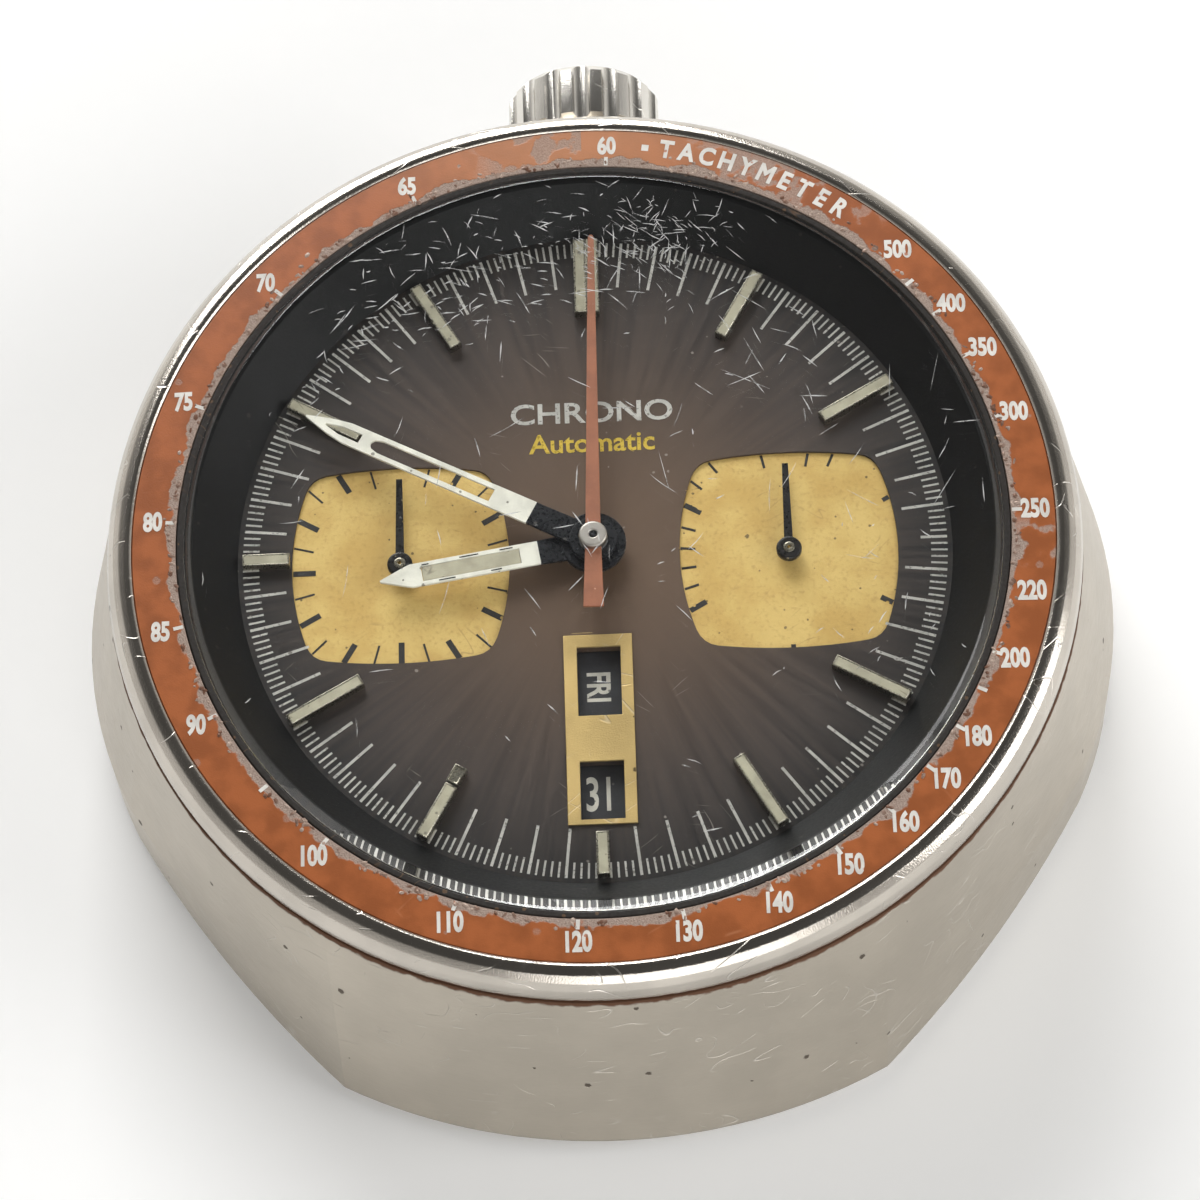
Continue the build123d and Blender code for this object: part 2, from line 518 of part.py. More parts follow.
# ---- escapement ----
def make_fork():
    """Pallet fork, drawn with its tail along +X towards the balance. The pallets stop short of the teeth."""
    body = rod(0.35, -4.32, -4.12) + block(0, 1.75, -0.12, 0.12, -4.32, -4.12)
    body += block(1.6, 1.9, -0.3, 0.3, -4.32, -4.12)
    body += block(-0.15, 0.15, -1.25, 1.25, -4.32, -4.12)
    for side in (-1, 1):
        body += block(-0.62, -0.1, side * 1.15 - 0.12, side * 1.15 + 0.12, -4.32, -4.12)
    return body + rod(PIVOT_R, -4.45, -2.35)


keep("pallet_fork", Pos(*fork, 0) * Rot(0, 0, bearing(fork, balance)) * make_fork())
wheel = ring(BALANCE_R - 0.5, BALANCE_R, -5.0, -4.55)
wheel += block(-BALANCE_R + 0.3, BALANCE_R - 0.3, -0.25, 0.25, -4.9, -4.7)
wheel += rod(PIVOT_R, -5.9, -2.35) + rod(0.45, -5.0, -4.6) + rod(0.35, -4.6, -4.4)
keep("balance_wheel", Pos(*balance, 0) * wheel)
keep("hairspring", spiral_band(0.5, 2.1, 8, 0.07, -5.4, -5.2, *balance))

# ---- chronograph work ----
COUNTER_T, COUNTER_M = 60, 0.085


def counter(arbor_r, top_z, place, wheel_teeth):
    """A counter wheel on its long arbor, with the heart cam that brings it back to zero."""
    wheel = gear(wheel_teeth, COUNTER_M, -6.20, -6.04, arms=5)
    wheel += rod(0.55, -6.65, -6.10, 0, 0.15) + rod(arbor_r, -7.05, top_z)
    return Pos(*place, 0) * wheel


keep("chronograph_wheel", counter(CHRONO_ARBOR_R, 1.45, centre, 84))
keep("minute_recorder_wheel", counter(PIVOT_R, 0.55, RECORDER, COUNTER_T))
keep("hour_recorder_wheel", counter(PIVOT_R, 0.55, (-RECORDER[0], RECORDER[1]), COUNTER_T))

column_wheel = gear(12, 0.24, -6.1, -5.8, rise=0.6) + rod(PIVOT_R, -7.05, -5.78)
for n in range(6):
    column_wheel += slab(Rot(0, 0, 60 * n) * Pos(0.95, 0) * Rectangle(0.7, 0.42), -6.8, -6.1)
keep("column_wheel", Pos(*column, 0) * column_wheel)

LEVER_Z = (-6.55, -6.27)
TAB_TOP_Z = -4.8           # a tab rises past the middle of its pusher's stem
TAB_R = 13.4               # where a pusher's stem meets its lever's upturned tab
lever_pivot = (9.5, 8.0)
start_tab = at_polar(TAB_R, PUSHER_AZIMUTH[0])


def upturned_tab(azimuth):
    return radial(azimuth, TAB_R, (LEVER_Z[0] + TAB_TOP_Z) / 2) * Box(0.8, TAB_TOP_Z - LEVER_Z[0], 0.5)


def arm(start, end, width):
    length = sqrt((end[0] - start[0])**2 + (end[1] - start[1])**2)
    bar = Pos(length / 2, 0) * Rectangle(length, width)
    return slab(Pos(*start) * Rot(0, 0, bearing(start, end)) * bar, *LEVER_Z)


operating_lever = arm(lever_pivot, start_tab, 0.9) + arm(lever_pivot, (2.0, 8.9), 0.7)
operating_lever += rod(0.7, *LEVER_Z, *lever_pivot) + upturned_tab(PUSHER_AZIMUTH[0])
operating_lever += rod(0.3, LEVER_Z[0] - 0.25, LEVER_Z[1], *lever_pivot)
keep("operating_lever", operating_lever)
HAMMER_R = 1.8             # the hammer's face, clear of the cam after its travel
hammer = arm(at_polar(TAB_R, PUSHER_AZIMUTH[1]), at_polar(HAMMER_R + 0.4, PUSHER_AZIMUTH[1]), 0.8)
hammer += Rot(0, 0, PUSHER_AZIMUTH[1]) * block(HAMMER_R, HAMMER_R + 0.45, -0.9, 0.9, LEVER_Z[0], -6.40)
keep("reset_hammer", hammer + upturned_tab(PUSHER_AZIMUTH[1]))

# ---- winding rotor ----
keep("rotor_bearing", rod(1.25, -7.95, CHRONO_Z[0]) + rod(1.7, -8.10, -7.95))
web = slab(Pos(0, -ROTOR_R / 2) * Rectangle(2 * ROTOR_R, ROTOR_R), -7.75, -7.45)
rim = ring(ROTOR_R - 1.8, ROTOR_R, -8.3, -7.4) - block(-ROTOR_R, ROTOR_R, 0, ROTOR_R, -9, -7)
weight = (web & rod(ROTOR_R, -8, -7)) + rim
weight += rod(2.3, -7.90, -7.40)
keep("rotor_weight", weight - rod(1.25 + RUN, -9, -7))

# ---- crown and stem ----
crown_at = radial(90, 0, CROWN_Z)
STEM_END = CROWN_Y[0] + 2.1
crown = rod(CROWN_R, *CROWN_Y) - rod(TUBE_R[1] + GROOVE, CROWN_Y[0], CROWN_Y[0] + CROWN_BORE_DEPTH)
crown = chamfer(crown.edges().filter_by(GeomType.CIRCLE).group_by(SortBy.RADIUS)[-1], 0.3)
for n in range(CROWN_FLUTES):
    crown -= rod(0.42, CROWN_Y[0] - 1, CROWN_Y[1] + 1, *at_polar(CROWN_R + 0.16, n * 360 / CROWN_FLUTES))
crown -= rod(STEM_R, CROWN_Y[0] + 1, STEM_END)
keep("crown", crown_at * crown)
gasket = ring(TUBE_R[1] + RUN, TUBE_R[1] + GROOVE - RUN, CROWN_Y[0] + 0.1, CROWN_Y[0] + 0.5)
keep("crown_gasket", crown_at * gasket)
keep("winding_stem", crown_at * rod(STEM_R, 8.7, STEM_END))
clutch = ring(STEM_R + RUN, 0.95, 10.3, 11.5)
for n in range(10):
    clutch -= Rot(0, 0, 36 * n) * block(0.6, 1.0, -0.12, 0.12, 11.2, 11.5)
clutch -= ring(0.75, 1.0, 10.65, 10.95)
keep("clutch_wheel", crown_at * clutch)

# ---- pushers ----
cap_in = CAP_FLOOR_R + PUSHER_TRAVEL + 0.3
for name, azimuth in zip(("start_pusher", "reset_pusher"), PUSHER_AZIMUTH):
    pusher = rod(PUSHER_R, cap_in, PUSHER_OUT) + rod(PUSHER_STEM_R, TAB_R + 0.28, cap_in)
    pusher = chamfer(pusher.edges().filter_by(GeomType.CIRCLE).group_by(Axis.Z)[-1], 0.2)
    keep(name, radial(azimuth, 0, PUSHER_Z) * pusher)
    spring = Pos(0, 0, CAP_FLOOR_R + 0.12) * coil_spring(1.3, 0.1, 4, cap_in - CAP_FLOOR_R - 0.24)
    keep(name + "_spring", radial(azimuth, 0, PUSHER_Z) * spring)
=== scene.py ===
# %% [markdown]
# A wrist chronograph head: a cushion-shaped steel case that leans back, an orange tachymeter ring under a polished
# bezel, a scuffed glass, and a brown dial with two gold recorders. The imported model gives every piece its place, so
# the first step loads it and nothing is ever moved to fit.

# %% Load the frame
import json
import math
import random

import bpy
from mathutils import Matrix, Vector


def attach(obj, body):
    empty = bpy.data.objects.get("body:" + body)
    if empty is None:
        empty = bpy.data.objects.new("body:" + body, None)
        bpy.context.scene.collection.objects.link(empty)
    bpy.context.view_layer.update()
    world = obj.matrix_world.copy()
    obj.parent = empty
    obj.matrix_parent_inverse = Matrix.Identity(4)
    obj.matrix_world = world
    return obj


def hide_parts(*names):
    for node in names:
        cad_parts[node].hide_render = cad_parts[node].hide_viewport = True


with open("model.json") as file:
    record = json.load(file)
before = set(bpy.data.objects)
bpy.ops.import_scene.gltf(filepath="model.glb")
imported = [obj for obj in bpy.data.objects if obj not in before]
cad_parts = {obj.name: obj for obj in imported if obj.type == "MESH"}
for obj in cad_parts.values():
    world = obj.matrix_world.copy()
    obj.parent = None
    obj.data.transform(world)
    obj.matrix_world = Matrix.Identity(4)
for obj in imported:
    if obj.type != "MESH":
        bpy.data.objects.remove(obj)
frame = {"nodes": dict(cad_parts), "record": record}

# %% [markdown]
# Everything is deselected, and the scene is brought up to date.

bpy.ops.object.select_all(action="DESELECT")
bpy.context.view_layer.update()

# %% [markdown]
# The dial, the glass and the hands lean back by six degrees over the case back. It would be painful to model them
# leaning, so each is modelled flat, with the dial's top at zero, and its mesh is then seated in one step. Sizes are
# written in millimetres, because that is how a watchmaker knows them, and MM turns them into metres.

# %% The seat that everything on the dial shares
MM = 0.001
LEAN = math.radians(6)
DIAL_HEIGHT = 11.56
SEAT = Matrix.Rotation(LEAN, 4, "X") @ Matrix.Translation((0, 0, DIAL_HEIGHT * MM))
RECORDER = {"minute": (8.1, -0.47), "hour": (-8.1, -0.47)}
CLOCK = {"minute": 298.0, "hour": 261.0, "chrono": 1.1}


def clock_turn(degrees):
    """A turn clockwise about the hands' axis, as a clock counts."""
    return Matrix.Rotation(-math.radians(degrees), 4, "Z")


def moved(x, y, z=0.0):
    return Matrix.Translation((x * MM, y * MM, z * MM))


print("the dial's middle stands at, mm:", [round(v / MM, 2) for v in SEAT.translation])

# %% [markdown]
# The camera stands where a person reading the watch would hold it: above 6 o'clock, 25 degrees off the dial's axis,
# with a long lens so that the bezel stays nearly round. Its place is given on the dial and then seated like a
# piece.

# %% Camera
PITCH, YAW, ROLL = -25.290, -1.338, 2.3465
CAMERA_SHIFT, CAMERA_DISTANCE, LENS = (-0.2211, 1.9132), 192.656, 138.35

aim = (Matrix.Rotation(math.radians(ROLL), 3, "Z") @ Matrix.Rotation(math.radians(YAW), 3, "Y")
       @ Matrix.Rotation(math.radians(PITCH), 3, "X")).transposed()
stand = aim @ Vector((-CAMERA_SHIFT[0], -CAMERA_SHIFT[1], CAMERA_DISTANCE)) * MM
lens = bpy.data.cameras.new("Camera")
lens.lens, lens.sensor_width, lens.clip_start = LENS, 36.0, 0.005
camera = bpy.data.objects.new("Camera", lens)
camera.matrix_world = SEAT @ Matrix.Translation(stand) @ aim.to_4x4()
bpy.context.scene.collection.objects.link(camera)
bpy.context.scene.camera = camera
print("camera stands at", [round(v, 4) for v in camera.matrix_world.translation])

# %% [markdown]
# A product studio: a white floor, one big soft lamp low behind 12 o'clock that gives the hands their soft shadows
# towards 6, and weaker ones from the right and the front. The sky is bright at the horizon, for the steel to
# reflect, and dim overhead, because the glass mirrors that part towards the camera and would hide the dark dial in
# haze.

# %% Floor, sky and lamps
scene = bpy.context.scene
scene.view_settings.view_transform = "Standard"
bpy.ops.mesh.primitive_plane_add(size=3.0, location=(0, 0, 0))
floor = bpy.context.object
floor.name = "floor"
bpy.ops.object.select_all(action="DESELECT")

sky = bpy.data.worlds.new("Sky")
sky.use_nodes = True
scene.world = sky
tree = sky.node_tree
direction = tree.nodes.new("ShaderNodeTexCoord")
axes = tree.nodes.new("ShaderNodeSeparateXYZ")
dimmer = tree.nodes.new("ShaderNodeMapRange")
for socket, value in (("From Min", 0.15), ("From Max", 0.80), ("To Min", 0.80), ("To Max", 0.08)):
    dimmer.inputs[socket].default_value = value
tree.links.new(direction.outputs["Generated"], axes.inputs[0])
tree.links.new(axes.outputs["Z"], dimmer.inputs["Value"])
tree.links.new(dimmer.outputs["Result"], tree.nodes["Background"].inputs["Strength"])
tree.nodes["Background"].inputs["Color"].default_value = (1.0, 0.985, 0.96, 1)


def lamp(name, power, size, place):
    """A square soft lamp that looks at the middle of the dial."""
    light = bpy.data.lights.new(name, "AREA")
    light.energy, light.size = power, size
    made = bpy.data.objects.new(name, light)
    made.location = place
    made.rotation_mode = "QUATERNION"
    made.rotation_quaternion = (Vector((0, 0, 0.01)) - Vector(place)).to_track_quat("-Z", "Y")
    scene.collection.objects.link(made)


lamp("lamp_over_12", 5.0, 0.45, (-0.16, 0.62, 0.42))
lamp("lamp_right", 1.8, 0.40, (0.55, -0.12, 0.33))
lamp("lamp_front", 1.6, 0.50, (0.12, -0.60, 0.26))

# %% [markdown]
# Most pieces of a watch are either turned on a lathe or cut from sheet, so two helpers do most of the modelling. A
# lathe part starts as one vertex, which is extruded round its half-section and then spun. A sheet part starts the
# same way: the vertex is extruded round the outline, filled, and the face extruded to the sheet's thickness.

# %% Helpers that model
WHOLE_TURN = math.tau
BIG_FACE, LEVEL_FACE = 2.5 * MM * MM, 0.9999
made_pieces = {}


def first_vertex(name, x, y, z):
    """A new mesh in edit mode, a small plane merged to one vertex at a place in mm."""
    bpy.ops.object.select_all(action="DESELECT")
    bpy.ops.mesh.primitive_plane_add(size=MM, location=(0, 0, 0))
    piece = bpy.context.object
    piece.name = name
    bpy.ops.object.mode_set(mode="EDIT")
    bpy.ops.mesh.select_mode(type="VERT")
    bpy.ops.mesh.merge(type="CENTER")
    bpy.ops.transform.translate(value=(x * MM, y * MM, z * MM))
    return piece


def extrude_round(points):
    """The one vertex is extruded from point to point and back to the first."""
    for (x0, y0, z0), (x1, y1, z1) in zip(points, points[1:] + points[:1]):
        step = ((x1 - x0) * MM, (y1 - y0) * MM, (z1 - z0) * MM)
        bpy.ops.mesh.extrude_vertices_move(TRANSFORM_OT_translate={"value": step})
    bpy.ops.mesh.select_all(action="SELECT")
    bpy.ops.mesh.remove_doubles(threshold=1e-7)


def closed_up():
    """Doubles are merged and faces turned outwards, and edit mode is left."""
    bpy.ops.mesh.select_all(action="SELECT")
    bpy.ops.mesh.remove_doubles(threshold=1e-7)
    bpy.ops.mesh.normals_make_consistent(inside=False)
    bpy.ops.object.mode_set(mode="OBJECT")


def turned(name, section, steps=144):
    """A lathe part, from its half-section of (radius, height) points in mm."""
    points = [(r, 0.0, z) for r, z in section]
    piece = first_vertex(name, *points[0])
    extrude_round(points)
    bpy.ops.mesh.spin(steps=steps, angle=WHOLE_TURN, center=(0, 0, 0), axis=(0, 0, 1))
    closed_up()
    return piece


def cut_sheet(name, outline, low, high):
    """A sheet part, from its outline of (x, y) points in mm and its two faces' heights."""
    points = [(x, y, low) for x, y in outline]
    piece = first_vertex(name, *points[0])
    extrude_round(points)
    bpy.ops.mesh.edge_face_add()
    bpy.ops.mesh.extrude_region_move(TRANSFORM_OT_translate={"value": (0, 0, (high - low) * MM)})
    closed_up()
    return piece


def rounded(piece, width, segments=3, angle=30.0):
    """Small round edges by a bevel modifier, smooth shading, and big or level faces kept flat."""
    bpy.ops.object.select_all(action="DESELECT")
    piece.select_set(True)
    bpy.context.view_layer.objects.active = piece
    bevel = piece.modifiers.new("Round edges", "BEVEL")
    bevel.width, bevel.segments = width * MM, segments
    bevel.limit_method, bevel.angle_limit = "ANGLE", math.radians(angle)
    bpy.ops.object.modifier_apply(modifier=bevel.name)
    bpy.ops.object.shade_smooth_by_angle(angle=math.radians(35))
    for face in piece.data.polygons:
        if face.area > BIG_FACE or abs(face.normal.z) > LEVEL_FACE:
            face.use_smooth = False
    weighted = piece.modifiers.new("Flat faces stay flat", "WEIGHTED_NORMAL")
    weighted.keep_sharp, weighted.weight = True, 100
    bpy.ops.object.modifier_apply(modifier=weighted.name)
    return piece


def joined(name, parts):
    """Several modelled pieces made one."""
    bpy.ops.object.select_all(action="DESELECT")
    for part in parts:
        part.select_set(True)
    bpy.context.view_layer.objects.active = parts[0]
    if len(parts) > 1:
        bpy.ops.object.join()
    piece = bpy.context.view_layer.objects.active
    piece.name = name
    return piece


def repeated(name, model, places):
    """A piece modelled once and copied to each place, every copy with its own mesh, joined into one."""
    copies = []
    for place in places:
        copy = model.copy()
        copy.data = model.data.copy()
        copy.data.transform(place)
        bpy.context.collection.objects.link(copy)
        copies.append(copy)
    bpy.data.objects.remove(model)
    return joined(name, copies)


def seated(piece, body, slot, finish=None, nodes=(), place=Matrix.Identity(4)):
    """A finished piece takes its seat on the dial and its body, keeps its finish (or else the slot's name) for
    dressing, and hides the CAD nodes that it stands for.
    """
    piece.data.transform(SEAT @ place)
    piece.data.update()
    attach(piece, body)
    if nodes:
        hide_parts(*nodes)
    made_pieces[piece.name] = (piece, finish or slot)
    bpy.ops.object.select_all(action="DESELECT")
    print(f"{piece.name}: {len(piece.data.polygons)} faces, on {body}")
    return piece


def lettering(words, size, thick=0.012, bold=0.0, squeeze=1.0):
    """Flat printed letters in mm, centred on the origin, made a mesh."""
    bpy.ops.object.select_all(action="DESELECT")
    bpy.ops.object.text_add(location=(0, 0, 0))
    text = bpy.context.object
    text.data.body, text.data.size = words, size * MM
    text.data.align_x, text.data.align_y = "CENTER", "CENTER"
    text.data.extrude, text.data.offset, text.data.resolution_u = thick * MM / 2, bold * MM, 4
    bpy.ops.object.convert(target="MESH")
    print_mesh = bpy.context.object
    print_mesh.data.transform(Matrix.Diagonal((squeeze, 1, 1, 1)))
    return print_mesh


print("faces over", round(BIG_FACE / MM / MM, 2), "square mm are shaded flat")

# %% [markdown]
# The bezel is one polished steel turning. It holds the glass, and its top is cut away for the orange ring, so only
# a narrow lip and its sloping outer face show. Where it meets the case there is a slot, in which rust has gathered.
# Its outer face is a convex section, and its edges get a small round bevel, so they catch the light all the way
# round.

# %% Bezel
bezel = turned("bezel", [
    (17.25, 0.905), (19.8, 0.905), (19.8, 1.10), (20.24, 1.10), (20.245, 1.50), (20.14, 1.86), (19.93, 2.20),
    (19.66, 2.41), (19.40, 2.49), (19.24, 2.49), (19.1, 2.40), (19.1, 1.905), (17.25, 1.905)], 180)
rounded(bezel, 0.05, 3, 8)
seated(bezel, "case", "bezel_steel", nodes=("bezel_ring",))

# %% [markdown]
# The tachymeter ring is a thin printed aluminium plate, pressed into the bezel. Its inner edge is badly eaten: the
# paint has gone and a crust of oxide stands up in crumbs. The plate is a plain turning, and the eaten edge is drawn
# in its finish.

# %% Tachymeter plate
INSERT_R, INSERT_LOW, INSERT_HIGH = (17.27, 19.09), 1.91, (2.50, 2.40)
plate = turned("tachymeter_plate", [
    (INSERT_R[0], INSERT_LOW), (INSERT_R[1], INSERT_LOW), (INSERT_R[1], INSERT_HIGH[1]),
    (INSERT_R[0], INSERT_HIGH[0])], 180)
rounded(plate, 0.04, 2, 30)
seated(plate, "case", "insert_orange", nodes=("tachymeter_insert",))


def insert_top(r):
    """Height of the plate's top face at a radius."""
    share = (r - INSERT_R[0]) / (INSERT_R[1] - INSERT_R[0])
    return INSERT_HIGH[0] + share * (INSERT_HIGH[1] - INSERT_HIGH[0])


# %% [markdown]
# The crust is one small lump, copied to random places along the plate's inner edge with a size and a turn of its
# own each time. It spreads furthest between 12 and 3, where the plate is eaten most. A fixed seed gives the same
# crust in every run.

# %% Crust on the plate's inner edge
random.seed(7)
bpy.ops.mesh.primitive_ico_sphere_add(subdivisions=1, radius=0.10 * MM, location=(0, 0, 0))
crumb = bpy.context.object
crumb.name = "crumb"
places = []
for n in range(430):
    angle = random.uniform(0, WHOLE_TURN)
    eaten = 0.35 + 0.65 * max(0.0, math.cos(angle - math.radians(50))) ** 2
    r = INSERT_R[0] + 0.04 + abs(random.gauss(0, 0.13)) * (1 + eaten)
    wide, tall = random.uniform(0.5, 1.9), random.uniform(0.25, 0.75)
    spot = Matrix.Rotation(angle, 4, "Z") @ moved(r, 0, insert_top(r) - 0.01)
    turn = Matrix.Rotation(random.uniform(0, WHOLE_TURN), 4, "Z")
    places.append(spot @ turn @ Matrix.Diagonal((wide, random.uniform(0.5, 1.2), tall, 1)))
crust = repeated("tachymeter_crust", crumb, places)
seated(crust, "case", "insert_orange", "oxide_crust")

# %% [markdown]
# The scale on the ring turns time into speed: a number stands where the chronograph hand is when one unit has been
# passed at that many units an hour, so its angle is 21600 degrees divided by the number. The numbers stand upright
# wherever they are on the ring, and each point of the print is laid on the ring's sloping top. The scale's generic
# name is set along the arc, letter by letter.

# %% Tachymeter scale
INSERT_TURN = 3.4
SPEEDS = (60, 65, 70, 75, 80, 85, 90, 100, 110, 120, 130, 140, 150, 160, 170, 180, 200, 220, 250, 300, 350, 400, 500)
NUMBER_R, PRINT_LIFT = 18.27, 0.008
prints = []


def speed_angle(speed):
    return 21600 / speed % 360 + INSERT_TURN


for speed in SPEEDS:
    number = lettering(str(speed), 1.16, bold=0.05, squeeze=0.68)
    at = clock_turn(speed_angle(speed)) @ Vector((0, NUMBER_R * MM, 0))
    number.data.transform(Matrix.Translation((at.x, at.y, 0)))
    prints.append(number)
WORD_START, LETTER_R, LETTER_STEP = 11.5, 18.30, 2.78
for n, letter in enumerate("TACHYMETER"):
    made = lettering(letter, 1.2, bold=0.045, squeeze=0.8)
    made.data.transform(clock_turn(WORD_START + n * LETTER_STEP) @ moved(0, LETTER_R))
    prints.append(made)
scale_print = joined("tachymeter_numbers", prints)
for point in scale_print.data.vertices:
    point.co.z += (insert_top(math.hypot(point.co.x, point.co.y) / MM) + PRINT_LIFT) * MM
seated(scale_print, "case", "hand_white", "worn_print")

# %% [markdown]
# Short ticks stand inside the numbers, in steps that widen from 5 units an hour to 50, and one dot stands before
# the scale's name. All are one small block, copied to each place on the sloping top.

# %% Ticks and dot on the ring
bpy.ops.mesh.primitive_cube_add(size=1, location=(0, 0, 0), scale=(0.16 * MM, 0.42 * MM, 0.012 * MM))
tick = bpy.context.object
bpy.ops.object.transform_apply(scale=True)
TICK_R, DOT_ANGLE = 17.52, 8.6


def on_ring(r):
    """A place on the ring's top, under 12, at a radius."""
    return moved(0, r, insert_top(r) + PRINT_LIFT)


scale_ticks = []
for low, high, step in ((60, 100, 5), (100, 200, 10), (200, 500, 50)):
    for speed in range(low, high, step):
        scale_ticks.append(clock_turn(speed_angle(speed)) @ on_ring(TICK_R))
scale_ticks.append(clock_turn(DOT_ANGLE) @ on_ring(LETTER_R) @ Matrix.Diagonal((1.9, 0.72, 1, 1)))
ring_ticks = repeated("tachymeter_ticks", tick, scale_ticks)
rounded(ring_ticks, 0.004, 1, 60)
seated(ring_ticks, "case", "hand_white", "worn_print")

# %% [markdown]
# The glass is a flat mineral crystal with a bevelled rim, in a black gasket. Its top is a hundredth of a millimetre
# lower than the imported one, so that the scuffs laid on it don't make the watch thicker.

# %% Glass and its gasket
GLASS_TOP = 2.838
glass = turned("glass", [
    (0, 1.905), (16.94, 1.905), (16.94, 2.5), (16.6, GLASS_TOP), (16.4, GLASS_TOP), (0, GLASS_TOP)], 180)
rounded(glass, 0.05, 3, 20)
seated(glass, "case", "crystal_glass", nodes=("crystal",))
gasket = turned("glass_gasket", [
    (16.955, 1.01), (17.245, 1.01), (17.245, 2.42), (17.2, 2.49), (17.0, 2.49), (16.955, 2.42)], 144)
rounded(gasket, 0.02, 2, 30)
seated(gasket, "case", "black_rubber", nodes=("crystal_gasket",))

# %% [markdown]
# Scuffs have turned the glass white in places, most of all just before and just after 12. Real scuffs are grooves
# with crushed glass in them. Here each is a sliver of mesh, four thousandths of a millimetre proud of the glass, so
# that it can lie where it is wanted. A few slivers are modelled for each cluster and copied with random places,
# lengths and directions.

# %% Scuffs on the glass
SLIVER_RISE, MODELS = 0.004, 4


def scratch(length, width, bend):
    """A sliver of crushed glass along Y, thin at its ends, bent a little to one side."""
    half = length / 2
    edges = ((0.5, width / 2, -half * 0.4), (1.0, width / 2, 0), (0.7, width / 3, half * 0.5))
    right = [(out + bend * share, y) for share, out, y in edges]
    left = [(bend * share - out, y) for share, out, y in reversed(edges)]
    outline = [(0, -half), *right, (0, half), *left]
    return cut_sheet("scratch", outline, GLASS_TOP - SLIVER_RISE, GLASS_TOP + SLIVER_RISE)


random.seed(21)
marks = []
SCUFFS = ((150, 350, 34, 13.2, 1.5, 0.8), (150, 13, 13, 13.7, 1.0, 0.6), (70, 320, 22, 13.0, 1.5, 0.9),
          (60, 45, 70, 11.0, 3.4, 1.5), (50, 200, 160, 8.0, 5.0, 1.2), (20, 110, 30, 13.0, 1.5, 0.7))
for count, middle, spread, radius, wander, longest in SCUFFS:
    for _ in range(MODELS):
        made = scratch(random.uniform(0.5, 1.1) * longest, random.uniform(0.02, 0.055), random.uniform(-0.04, 0.04))
        spots = []
        for n in range(count // MODELS):
            r = min(16.2, abs(random.gauss(radius, wander)))
            angle = middle + random.gauss(0, spread / 2)
            lie = math.radians(random.choice((10, 50, 62, 75, 100, 150)) + random.gauss(0, 9))
            spots.append(clock_turn(angle) @ moved(0, r) @ Matrix.Rotation(lie, 4, "Z")
                         @ Matrix.Diagonal((1, random.uniform(0.3, 1.5), 1, 1)))
        marks.append(repeated("scratches", made, spots))
scuffs = joined("glass_scuffs", marks)
seated(scuffs, "case", "crystal_glass", "crushed_glass")

# %% [markdown]
# Between glass and dial stands a black ring whose inside slopes down to the dial. It hides the edge of the glass
# and carries no print.

# %% Flange ring
flange = turned("flange_ring_black", [
    (14.9, 0.003), (17.19, 0.003), (17.19, 0.89), (16.89, 0.89), (16.89, 1.895), (16.6, 1.895), (15.75, 0.93)], 180)
rounded(flange, 0.03, 2, 25)
seated(flange, "case", "black_paint", nodes=("flange_ring",))

# %% [markdown]
# The dial is a brass disc under brown lacquer. The two recorders are pressed down by 0.12 mm and gilt, in an
# outline like an old television: four swelling sides that meet at small round corners. Their floors are cut as
# sheets of that outline, and the dial round them is one sheet with the openings taken out by boolean modifiers.

# %% Recorder outline
RECORDER_MIDDLE_Y, RECORDER_DEPTH = -0.28, 0.12
CORNER, SWELL, CORNER_R = (3.72, 4.20), (4.55, 4.52), 0.5


def bow(start, top, end, count):
    """Points on the round arc through three points, without the last."""
    (ax, ay), (mx, my), (bx, by) = start, top, end
    d = 2 * (ax * (my - by) + mx * (by - ay) + bx * (ay - my))
    a2, m2, b2 = ax * ax + ay * ay, mx * mx + my * my, bx * bx + by * by
    cx = (a2 * (my - by) + m2 * (by - ay) + b2 * (ay - my)) / d
    cy = (a2 * (bx - mx) + m2 * (ax - bx) + b2 * (mx - ax)) / d
    first = math.atan2(ay - cy, ax - cx)
    sweep = (math.atan2(by - cy, bx - cx) - first) % WHOLE_TURN
    r = math.hypot(ax - cx, ay - cy)
    return [(cx + r * math.cos(first + sweep * n / count), cy + r * math.sin(first + sweep * n / count))
            for n in range(count)]


def recorder_outline():
    """The recorder's outline about its own middle, anticlockwise."""
    x, y = CORNER
    corners = [(x, y), (-x, y), (-x, -y), (x, -y)]
    tops = [(0, SWELL[1]), (-SWELL[0], 0), (0, -SWELL[1]), (SWELL[0], 0)]
    points = []
    for n in range(4):
        side = bow(corners[n], tops[n], corners[(n + 1) % 4], 24)
        side.append(corners[(n + 1) % 4])
        near = [p for p in side
                if min(math.dist(p, corners[n]), math.dist(p, corners[(n + 1) % 4])) > CORNER_R]
        points += near
        a, b = near[-1], corners[(n + 1) % 4]
        following = bow(corners[(n + 1) % 4], tops[(n + 1) % 4], corners[(n + 2) % 4], 24)
        c = next(p for p in following if math.dist(p, b) > CORNER_R)
        for step in (0.25, 0.5, 0.75):
            back = 1 - step
            points.append(tuple(back ** 2 * a[k] + 2 * step * back * b[k] + step ** 2 * c[k] for k in (0, 1)))
    return points


OUTLINE = recorder_outline()
print("recorder outline:", len(OUTLINE), "points")

# %% [markdown]
# The dial's hole for the hands comes from the turning itself. The recorders and the two calendar openings are then
# cut through the sheet. Its shading is reset afterwards, because a flat face with cuts in it would shade in stars.

# %% Dial plate
FRAME_BOX, DAY_BOX, DATE_BOX = (-1.4, 1.45, -12.37, -3.9), (-0.85, 0.95, -7.55, -4.46), (-0.85, 0.95, -12.15, -9.59)


